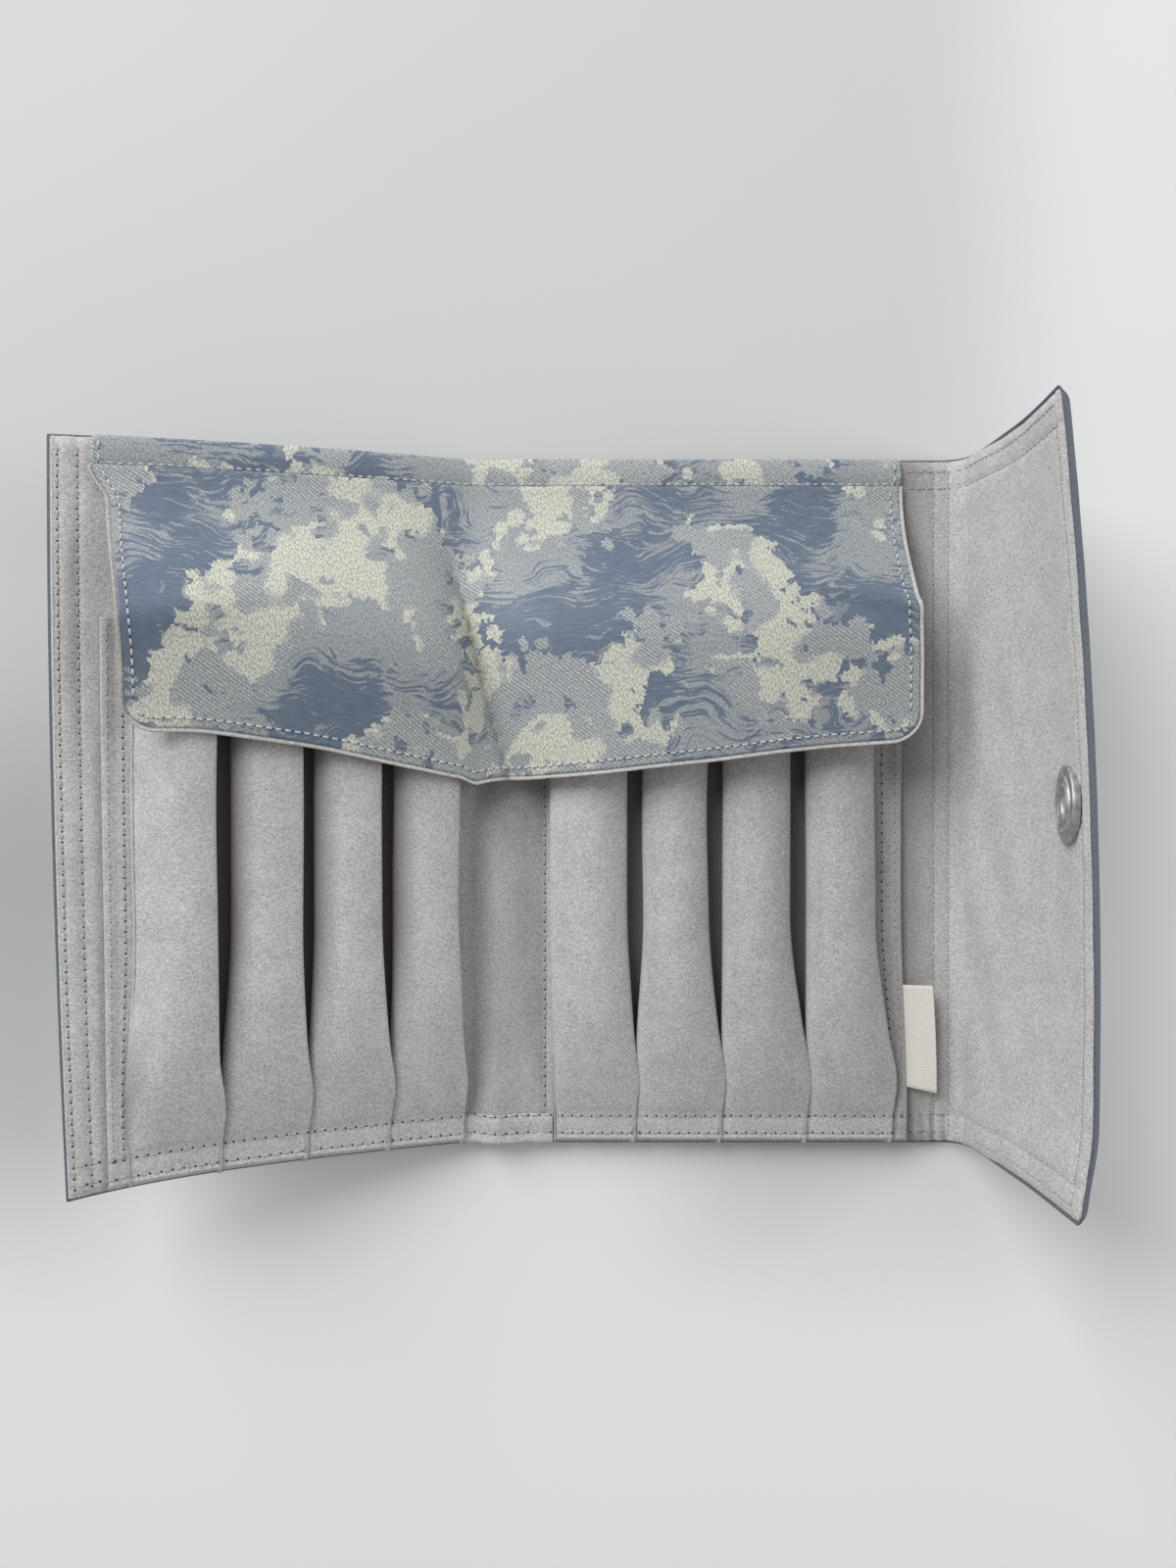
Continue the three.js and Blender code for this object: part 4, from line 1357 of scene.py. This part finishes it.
def make_pocket(side):
    """Pocket cloth of one side, with two stitch rows along its hem and two down its border. Its flat length
    is that of a row a third of the way down."""
    grid, depth = pocket_grid(side, **SIDES[side])
    # The slots' painted shade goes into the first pattern coordinate
    pattern = np.stack([depth, 0 * depth], axis=-1) * PATTERN_UNIT
    piece = walled_cloth(f"pocket_cloth_{side}", grid, POCKET_CLOTH, SUEDE_WITH_PAINTED_SHADE, pattern)
    size = (path_length(grid[len(grid) // 3]), MOUTH + HALF_HEIGHT)
    nodes = [f"pen_sleeve_{number}" for number in SLEEVE_NUMBERS[side]]
    declare_sheet(piece, size, "gathered", [f"lining_cloth_{POCKET_STRIP[side]}"], "suede",
                  *nodes, f"pocket_border_{side}", f"hem_{side}")
    flatten(piece, *FOLDING[side])
    normals = grid_normals(grid)
    columns = np.arange(grid.shape[1]).astype(float)
    rows = []
    for row in HEM_ROWS:
        place_down = np.interp(-row, -POCKET_UPS, np.arange(len(POCKET_UPS)))
        down = np.full(len(columns), place_down)
        rows.append((at(grid, down, columns), at(normals, down, columns)))
    fold = SIDES[side]["fold"]
    mouth, hem = SIDES[side]["border_at_mouth"], SIDES[side]["border_at_hem"]
    inward = -np.sign(mouth)
    for at_mouth, at_hem, height in BORDER_ROWS:
        rows.append(upright_row(fold, mouth + inward * at_mouth, hem + inward * at_hem, height))
    threads = sewing(f"pocket_stitches_{side}", rows, "suede")
    flatten(threads, *FOLDING[side])


# Pen flap: brocade outside, suede inside, in three stretches that share the fold lines

# Rows of the flap's grid by their share of its length, denser near the free edge, and counts of columns
DENSE_FROM = 0.964
FLAP_ROWS = np.concatenate([np.linspace(0, DENSE_FROM, 58), np.linspace(DENSE_FROM, 1, 8)[1:]])
MIDDLE_COLUMNS = 16
CORNER_COLUMNS = 12
STRAIGHT_COLUMNS = 56

# Cut: reach of the bell curve on both sides, and the trim of the left end
LENGTH_REACH = {"left": 45, "right": 62}
LEFT_TRIM = 3.6
LEFT_TRIM_SPAN = (-85, -175)

# Shares of the length over which the flap rises, falls and settles
RISE_SPAN = (0, 0.62)
FALL_SPAN = (0.6, 1.12)
SETTLE_SPAN = (0, 0.3)
FLAP_WAVE = 0.55
FLAP_WAVE_LENGTH = 34

# Slanted folds: height, width, length down at a place across, slope, and the span where they grow
FLAP_FOLDS = (
    (1.7, 3.2, 30, 10, 0.28, (-5, 25)),
    (0.9, 5, 34, -120, -0.22, (-110, -150)),
)

# Outer edges: how the left one draws in below the seam, and the right one moves out
LEFT_EDGE_START = 1.4
LEFT_EDGE_DRAWS = ((4.2, 0, 0.16), (3.4, 0.1, 0.9))
RIGHT_EDGE_START = -0.6
RIGHT_EDGE_DRAW = (1.6, 0.2, 0.8)
STEEPEST = 0.6
RIM_RISE = 0.7
RIM_START = 0.2


def flap_length(across):
    """Cut length from the seam: longest at the middle, falling off to both sides as a bell curve, and
    trimmed a little more towards the left end."""
    offset = across - SPINE_MIDDLE
    reach = np.where(offset > 0, LENGTH_REACH["right"], LENGTH_REACH["left"])
    bell = np.exp(-((offset / reach) ** 2))
    return mixed(FLAP_SIDE_LENGTH, FLAP_MIDDLE_LENGTH, bell) - LEFT_TRIM * smooth(*LEFT_TRIM_SPAN, across)


def flap_height(across, down, share):
    """Height over the lining: a long eased rise from the seam, then a fall to the sleeves at the free
    edge. A sharp valley, 1 - k * exp(-distance / width), runs slantwise down from the seam over the
    spine. Slow waves, a slanted fold near the right edge and a shallow one on the left are added; a
    fold is a bell curve across its line."""
    fall = mixed(FLAP_FALL["left"], FLAP_FALL["right"], smooth(FOLD_LEFT, FOLD_RIGHT + FALL_REACH, across))
    rise = FLAP_START + FLAP_RISE * smooth(*RISE_SPAN, share) - fall * smooth(*FALL_SPAN, share)
    crease = CREASE_AT_SEAM + CREASE_SLANT * down
    depth = 1 - (1 - CREASE_SHARE) * np.exp(-np.abs(across - crease) / CREASE_WIDTH)
    settled = smooth(*SETTLE_SPAN, share)
    waves = FLAP_WAVE * settled * undulation(across, down, FLAP_WAVE_LENGTH, SEEDS["pen flap"])
    height = rise * mixed(1, depth, settled) + waves
    for top, width, length, place, slope, span in FLAP_FOLDS:
        from_line = down - length - slope * (across - place)
        height = height + top * smooth(*span, across) * np.exp(-((from_line / width) ** 2))
    return height


def flap_columns(side, grown):
    """Shares across a stretch, with the outer corner's arc resolved."""
    if side == "mid":
        return np.linspace(0, 1, MIDDLE_COLUMNS)
    corner = (FLAP_CORNER_RADIUS + grown) / (POCKET_EDGE + grown)
    arc = corner * (1 - np.cos(np.linspace(0, np.pi / 2, CORNER_COLUMNS)))
    straight = np.linspace(corner, 1, STRAIGHT_COLUMNS)[1:]
    shares = np.concatenate([arc, straight])
    return shares if side == "left" else 1 - shares[::-1]


def eased_draw(share, amount, start, end):
    """Amount that grows by an eased step between two shares."""
    return amount * smooth(start, end, share)


def flap_grid(side, grown, drop, rim=0.0):
    """Grid of one stretch, with each point's place in the cloth. Across, a row runs between its fold line
    and its outer edge, which draws in below the seam on the left. Down, the cloth keeps its length: each
    step in Y is what is left of the step along the cloth after the change of height. The free outer
    corner is rounded by an arc, and the grown rim outside the cut can stand up."""
    share, column = FLAP_ROWS[:, None], flap_columns(side, grown)[None, :]
    draw_in = sum(eased_draw(share, *draw) for draw in LEFT_EDGE_DRAWS)
    left_edge = FOLD_LEFT - POCKET_EDGE + LEFT_EDGE_START - grown + draw_in
    right_edge = FOLD_RIGHT + POCKET_EDGE + grown + RIGHT_EDGE_START + eased_draw(share, *RIGHT_EDGE_DRAW)
    low, high = {
        "left": (left_edge, FOLD_LEFT),
        "mid": (FOLD_LEFT, FOLD_RIGHT),
        "right": (FOLD_RIGHT, right_edge),
    }[side]
    across = mixed(low, high, column) + 0 * share
    radius = FLAP_CORNER_RADIUS + grown
    inside = {"left": across - low, "mid": across * 0 + radius, "right": high - across}[side]
    short = radius - np.sqrt(np.maximum(radius ** 2 - np.maximum(radius - inside, 0) ** 2, 0))
    cut = flap_length(across) + grown
    down = share * (cut - short)
    height = flap_height(across, down, down / flap_length(across))
    step = np.diff(down, axis=0)
    climb = np.diff(height, axis=0)
    forward = np.sqrt(np.maximum(step ** 2 - climb ** 2, (STEEPEST * step) ** 2))
    up = SEAM - np.concatenate([np.zeros((1, across.shape[1])), np.cumsum(forward, axis=0)])
    from_edge = np.minimum(inside, cut - short - down)
    drop = drop - rim * (1 - smooth(RIM_START, FLAP_RIM, from_edge))
    return wrap(across, up, height - drop), np.stack([across, SEAM - down], axis=-1)


FLAP_FREE = {
    "left": (True, False, True, True),
    "mid": (True, False, True, False),
    "right": (True, True, True, False),
}
# Body, joint, tilt and fold line of each stretch
FLAP_LIFTING = {
    "left": ("pen_flap_left", "pen_flap_left_lift", LEFT_TILT, FOLD_LEFT),
    "mid": ("pen_flap_mid", "pen_flap_mid_lift", 0.0, FOLD_RIGHT),
    "right": ("pen_flap_right", "pen_flap_lift", 0.0, FOLD_RIGHT),
}
FLAP_HINGE_RISE = 1.7
FLAP_KEPT = 0.2
FLAP_POCKET = {"left": "pocket_cloth_left", "mid": "pocket_cloth_right", "right": "pocket_cloth_right"}
FLAP_FLAT_LENGTH = {"left": FLAP_SIDE_LENGTH, "mid": FLAP_MIDDLE_LENGTH, "right": FLAP_SIDE_LENGTH}
SIDE_STITCH_END = 0.94


def flap_topstitch(side, grid, pattern):
    """Stitch rows a fixed inset inside the flap's free edges, on its upper face: one along the lower edge,
    and one down the outer edge to near the rounded corner."""
    normals = grid_normals(grid)
    rows, columns = grid.shape[:2]
    lengths = SEAM - pattern[-1, :, 1]
    keep = np.arange(columns).astype(float)
    outer = {"left": 0, "mid": None, "right": columns - 1}[side]
    if outer is not None:
        distance = np.abs(pattern[-1, :, 0] - pattern[-1, outer, 0])
        keep = keep[distance > FLAP_STITCH_INSET]
    inset = FLAP_STITCH_INSET / lengths[keep.astype(int)]
    down = np.interp(1 - inset, FLAP_ROWS, np.arange(rows))
    paths = [(at(grid, down, keep), at(normals, down, keep))]
    if outer is not None:
        lines = np.arange(1, np.sum(FLAP_ROWS < SIDE_STITCH_END)).astype(float)
        across = np.abs(pattern[:, :, 0] - pattern[:, outer:outer + 1, 0])[lines.astype(int)]
        beyond = np.sum(across < FLAP_STITCH_INSET, axis=1).astype(float)
        place = beyond - 0.5 if outer == 0 else columns - 0.5 - beyond
        paths.append((at(grid, lines, place), at(normals, lines, place)))
    return paths


def make_pen_flap(side):
    """One stretch of the pen flap: the cover, a larger lining whose rim stands up round it, and stitches."""
    face, pattern = flap_grid(side, 0, 0)
    back, _ = flap_grid(side, 0, FLAP_COVER)
    cover = closed_cloth(f"pen_flap_brocade_{side}", face, back, BROCADE, pattern, FLAP_FREE[side])
    size = (np.ptp(pattern[0, :, 0]), FLAP_FLAT_LENGTH[side])
    declare_sheet(cover, size, "draped", [FLAP_POCKET[side]], "brocade", f"pen_flap_cover_{side}")
    under = FLAP_COVER + FLAP_GAP
    lining_face, _ = flap_grid(side, FLAP_RIM, under, RIM_RISE)
    lining_back, _ = flap_grid(side, FLAP_RIM, under + FLAP_LINING, RIM_RISE)
    lining = closed_cloth(f"pen_flap_suede_{side}", lining_face, lining_back, SUEDE, None, FLAP_FREE[side])
    declare_sheet(lining, size, "draped", [cover.name], "suede", f"pen_flap_lining_{side}")
    threads = sewing(f"pen_flap_stitches_{side}", flap_topstitch(side, face, pattern), "brocade")
    for piece in (cover, lining, threads):
        flatten(piece, *FLAP_LIFTING[side], FLAP_HINGE_RISE, FLAP_KEPT)


# Sewing on the strips: points of a row, how far it stands off the cloth, and its inset and heights

ROW_POINTS = 200
THREAD_LIFT = 0.02
ROW_INSET = 2.5
ROW_FROM_BAND = 1.5
SPINE_HEM_ROW_LEFT = FOLD_LEFT - 1
SPINE_HEM_ROW_RIGHT = FOLD_RIGHT + 1.2
SPINE_HEM_ROW_LIFT = 1.0
SEAM_ROW_LIFT = 1.05
SEAM_ROW_INSET = 0.5
TACK_INSET = 1.4
TACK_TOP = 0.6
TACK_POINTS = 40


def upright_line(across, low, high):
    """Stitch row down the lining between two heights."""
    up = np.linspace(high, low, ROW_POINTS)
    line = np.full(up.shape, float(across))
    return strip_row(line, up, lining_lift(line, up) + THREAD_LIFT)


def level_line(up, low, high, lift=None):
    """Stitch row across the wrap, on the lining or on a trim of a given lift."""
    across = np.linspace(low, high, ROW_POINTS)
    line = np.full(across.shape, float(up))
    height = lining_lift(across, line) if lift is None else lift + ripple(across, line)
    return strip_row(across, line, height + THREAD_LIFT)


def make_strip_sewing():
    """Stitch rows of the lining and the spine hem, and of the top band with a tack at its outer end."""
    end = HALF_HEIGHT - ROW_INSET
    rows = {
        "left": [upright_line(line, -end, end) for line in LEFT_ROWS],
        "right_inner": [upright_line(SPINE_ROW, HEM_TOP, SEAM)],
        "right_outer": [upright_line(line, -end, end) for line in HINGE_ROWS],
        "closing": [upright_line(FREE_ROW, HEM_ROWS[0], TOP_ROWS[0])],
    }
    for level in (*HEM_ROWS, *TOP_ROWS):
        rows["right_outer"].append(level_line(level, BAND_RIGHT + ROW_FROM_BAND, GUSSET_MIDDLE))
        rows["closing"].append(level_line(level, GUSSET_MIDDLE, FREE_ROW))
    for row in HEM_ROWS:
        left_half = level_line(row, SPINE_HEM_ROW_LEFT, SPINE_MIDDLE, SPINE_HEM_ROW_LIFT)
        right_half = level_line(row, SPINE_MIDDLE, SPINE_HEM_ROW_RIGHT, SPINE_HEM_ROW_LIFT)
        rows["left"].extend([left_half, level_line(row, LEFT_ROWS[0], FOLD_LEFT - POCKET_EDGE)])
        rows["right_inner"].append(right_half)
    for strip, lines in rows.items():
        kind = "faint" if strip in ("right_outer", "closing") else "suede"
        bend(sewing(f"lining_stitches_{strip}", lines, "suede", kind), strip)
    seam_lines = {
        "left": (BAND_LEFT, SPINE_MIDDLE, BAND_LEFT + TACK_INSET),
        "right_inner": (SPINE_MIDDLE, BAND_RIGHT, BAND_RIGHT - TACK_INSET),
    }
    for strip, (low, high, tack) in seam_lines.items():
        inset = SEAM_ROW_INSET
        seam_line = level_line(BAND_LOW + inset, low + inset, high - inset, SEAM_ROW_LIFT)
        up = np.linspace(BAND_TOP - TACK_TOP, BAND_LOW, TACK_POINTS)
        tack_line = strip_row(np.full(up.shape, tack), up, BAND_PUFF)
        bend(sewing(f"band_stitches_{strip}", [seam_line, tack_line], "brocade"), strip)


# Label tab

LABEL_STEP = 0.9
LABEL_COLUMNS = 26
LABEL_TUCK = 0.8
LABEL_LIFT = 0.9
LABEL_SWELL = 0.75
LABEL_RISE = 2.2
LABEL_TWIST = 0.5
LABEL_SWAY = 0.2
LABEL_SLANT = 0.17
LABEL_FACE = 0.35
LABEL_BACK = 0.12
LABEL_FLAT_SHARE = 1.25


def make_label():
    """Upper leaf of a woven loop sewn into the pocket's edge: in section it swells by a sine and rises by a
    parabola to its fold, with a slight twist at mid-height. Going down it moves out, and its lower end
    slants down to the fold."""
    low, high = node_box("label_tab")
    width = high[0] - low[0] + LABEL_TUCK
    height = high[1] - low[1]
    up = spaced(high[1], low[1], LABEL_STEP)[:, None]
    leaf = np.linspace(0, 1, LABEL_COLUMNS)[None, :]
    down = (high[1] - up) / height
    twist = LABEL_TWIST * np.sin((up - low[1]) / height * np.pi)
    lift = LABEL_LIFT + LABEL_SWELL * np.sin(np.pi * leaf) + LABEL_RISE * leaf ** 2 + twist * leaf ** 2
    across = low[0] - LABEL_TUCK + width * leaf + LABEL_SWAY * twist + down
    slanted = up - LABEL_SLANT * down * (across - low[0])
    face, back = wrap(across, slanted, lift + LABEL_FACE), wrap(across, slanted, lift + LABEL_BACK)
    piece = closed_cloth("label_tab_cloth", face, back, LABEL)
    size = (width * LABEL_FLAT_SHARE, height)
    declare_sheet(piece, size, "folded", ["lining_cloth_right_outer"], "label", "label_tab")
    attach(piece, "right_panel")


# Snap: its distance from the flap's free edge, the lean of its socket, and the sections of its pieces

SNAP_INSET = 12
SNAP_LEAN = -math.radians(7)
SOCKET_LIFT = 0.2
CAP_GAP = 0.05


def snap_frame(across, lift, lean=0.0):
    """Centre, side direction and normal on the wrap at mid-height. The normal is square to the surface's
    own slope, then leans by an angle."""
    side = np.array([0.0, 1.0, 0.0])
    along = wrap(across + 1, 0.0, lift) - wrap(across - 1, 0.0, lift)
    along = along / np.linalg.norm(along)
    normal = math.cos(lean) * np.cross(along, side) + math.sin(lean) * along
    return wrap(across, 0.0, lift), side, normal


def arc_points(radius, height, corner, start, end, steps=5):
    """Points of a round corner about a centre, between two angles in degrees."""
    angles = np.radians(np.linspace(start, end, steps))
    return [(radius + corner * math.cos(turn), height + corner * math.sin(turn)) for turn in angles]


SOCKET = (
    (0, -0.8), (8.7, -0.8), (9, 0), *arc_points(8.5, 0.6, 0.5, 0, 90),
    (6.9, 1.1), *arc_points(6.4, 1.25, 0.35, 20, 160), (5.6, 1.15),
    (5.0, 1.1), *arc_points(4.4, 1.25, 0.3, 20, 160), (3.6, 1.15),
    (3.3, 0.95), (3.2, 0.45), (0, 0.4),
)
CUP = ((0, 0.42), (3.1, 0.42), (3.1, 0.5), (2.4, 0.56), (0, 0.6))
CAP = (
    (0, 0.0), (5.5, 0.0), *arc_points(5.2, 0.35, 0.35, -80, 60),
    (4.6, 0.8), (3.2, 1.12), (1.6, 1.28), (0, 1.32),
)
STUD = (
    (0, -0.3), (6, -0.3), *arc_points(5.8, 0.1, 0.25, -60, 90), (3.4, 0.45), (2.8, 0.6),
    (2.35, 0.9), *arc_points(2.1, 1.25, 0.28, -10, 90), (0, 1.55),
)


def make_snap_piece(name, section, place, outer, finish, body, node=None):
    """Turned piece of the snap on a place of the wrap, facing inward or outward, riding on a body."""
    centre, side, normal = place
    piece = turned(name, section, centre, side, -normal if outer else normal, finish)
    if node:
        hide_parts(node)
    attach(piece, body)


def make_snap():
    """Socket and cup on the closing flap's inner face, cap on its outer face, stud on the left cover."""
    snap = FREE_EDGE - SNAP_INSET
    inner = snap_frame(snap, SOCKET_LIFT, SNAP_LEAN)
    make_snap_piece("snap_socket_disc", SOCKET, inner, False, METAL, "closing_flap", "snap_socket")
    make_snap_piece("snap_socket_cup", CUP, inner, False, BRIGHT_METAL, "closing_flap")
    outer = snap_frame(snap, COVER_LOW + CAP_GAP)
    make_snap_piece("snap_cap_dome", CAP, outer, True, METAL, "closing_flap", "snap_cap")
    low, high = node_box("snap_stud")
    from_fold = (FOLD_LEFT - (low[0] + high[0]) / 2) / math.cos(LEFT_TILT)
    behind = snap_frame(FOLD_LEFT - from_fold, COVER_LOW)
    make_snap_piece("snap_stud_disc", STUD, behind, True, METAL, "left_panel", "snap_stud")


def dress_washer():
    """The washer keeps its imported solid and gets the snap's metal."""
    for slot in frame["nodes"]["snap_stud_washer"].material_slots:
        slot.material = METAL


# Camera, floor and light

CAMERA_PLACE = (-44.45, 4.7, 322.6)
CAMERA_LENS = 27.05
FLOOR_PALE = linear(245, 246, 245)
FLOOR_SHADE = linear(150, 151, 151)
FLOOR_HALF = 1500
# Each lamp's place, size and power, and the point that they face
LAMPS = {"window": ((-740, 800, 720), 950, 14.8), "fill": ((700, 100, 330), 500, 2.4)}
LAMP_TARGET = (-40, 0, 0)
SKY_STRENGTH = 0.31


def make_camera():
    """Camera straight above the wrap, looking down."""
    data = bpy.data.cameras.new("camera")
    data.lens = CAMERA_LENS
    data.sensor_width = 36
    data.clip_start = 0.01
    camera = bpy.data.objects.new("camera", data)
    camera.location = [value * MM for value in CAMERA_PLACE]
    bpy.context.scene.collection.objects.link(camera)
    bpy.context.scene.camera = camera


def make_floor():
    """Pale square floor with painted shade that follows soft steps in X and Y, in metres: painted shade
    toward the far side and beside the wrap's left end, and a painted shadow below its right half, with a
    faint slow grain."""
    finish = Finish("pale_floor")
    place = finish.place()
    grain = finish.noise(place, 7, 2, 0.5)
    x = finish.part(place, 0)
    y = finish.part(place, 1)
    # Painted shade toward the far side and beside the left end, and a painted shadow below the right half
    far = y.step(-0.1, 0.08) * (1 - x.step(0.04, 0.1) * 0.6)
    beside = (1 - x.step(-0.2, -0.14)) * (1 - abs(y + 0.05).step(0.02, 0.11))
    below = (1 - abs(y + 0.1).step(0, 0.06)) * (1 - abs(x - 0.035).step(0.02, 0.08))
    shade = far * 0.42 + beside * 0.5 + below * 0.3 + grain * 0.05
    finish.shade({
        "Base Color": finish.mix(shade, FLOOR_PALE, FLOOR_SHADE),
        "Roughness": 0.9,
        "Specular IOR Level": 0.1,
    })
    points = FLOOR_HALF * np.array([[-1, -1, 0], [1, -1, 0], [1, 1, 0], [-1, 1, 0]], float)
    floor = add_piece("floor", points, [(0, 1, 2, 3)], [finish.material])


def add_lamp(name, place, size, power):
    """Round soft lamp that faces the wrap."""
    data = bpy.data.lights.new(name, "AREA")
    data.shape = "DISK"
    data.size = size * MM
    data.energy = power
    lamp = bpy.data.objects.new(name, data)
    lamp.location = [value * MM for value in place]
    aim = Vector([end - start for start, end in zip(place, LAMP_TARGET)])
    lamp.rotation_euler = aim.to_track_quat("-Z", "Y").to_euler()
    bpy.context.scene.collection.objects.link(lamp)


def make_light():
    """White sky, a broad window lamp at the upper left and a weak fill from the right."""
    world = bpy.data.worlds.new("studio")
    bpy.context.scene.world = world
    world.use_nodes = True
    sky = world.node_tree.nodes["Background"]
    sky.inputs["Color"].default_value = (1, 1, 1, 1)
    sky.inputs["Strength"].default_value = SKY_STRENGTH
    for name, lamp in LAMPS.items():
        add_lamp(name, *lamp)
    bpy.context.scene.view_settings.view_transform = "Standard"


make_camera()
make_floor()
make_light()
make_boards()
make_wrap_layers()
make_trims()
make_pocket("left")
make_pocket("right")
for stretch in ("left", "mid", "right"):
    make_pen_flap(stretch)
make_strip_sewing()
make_label()
make_snap()
dress_washer()
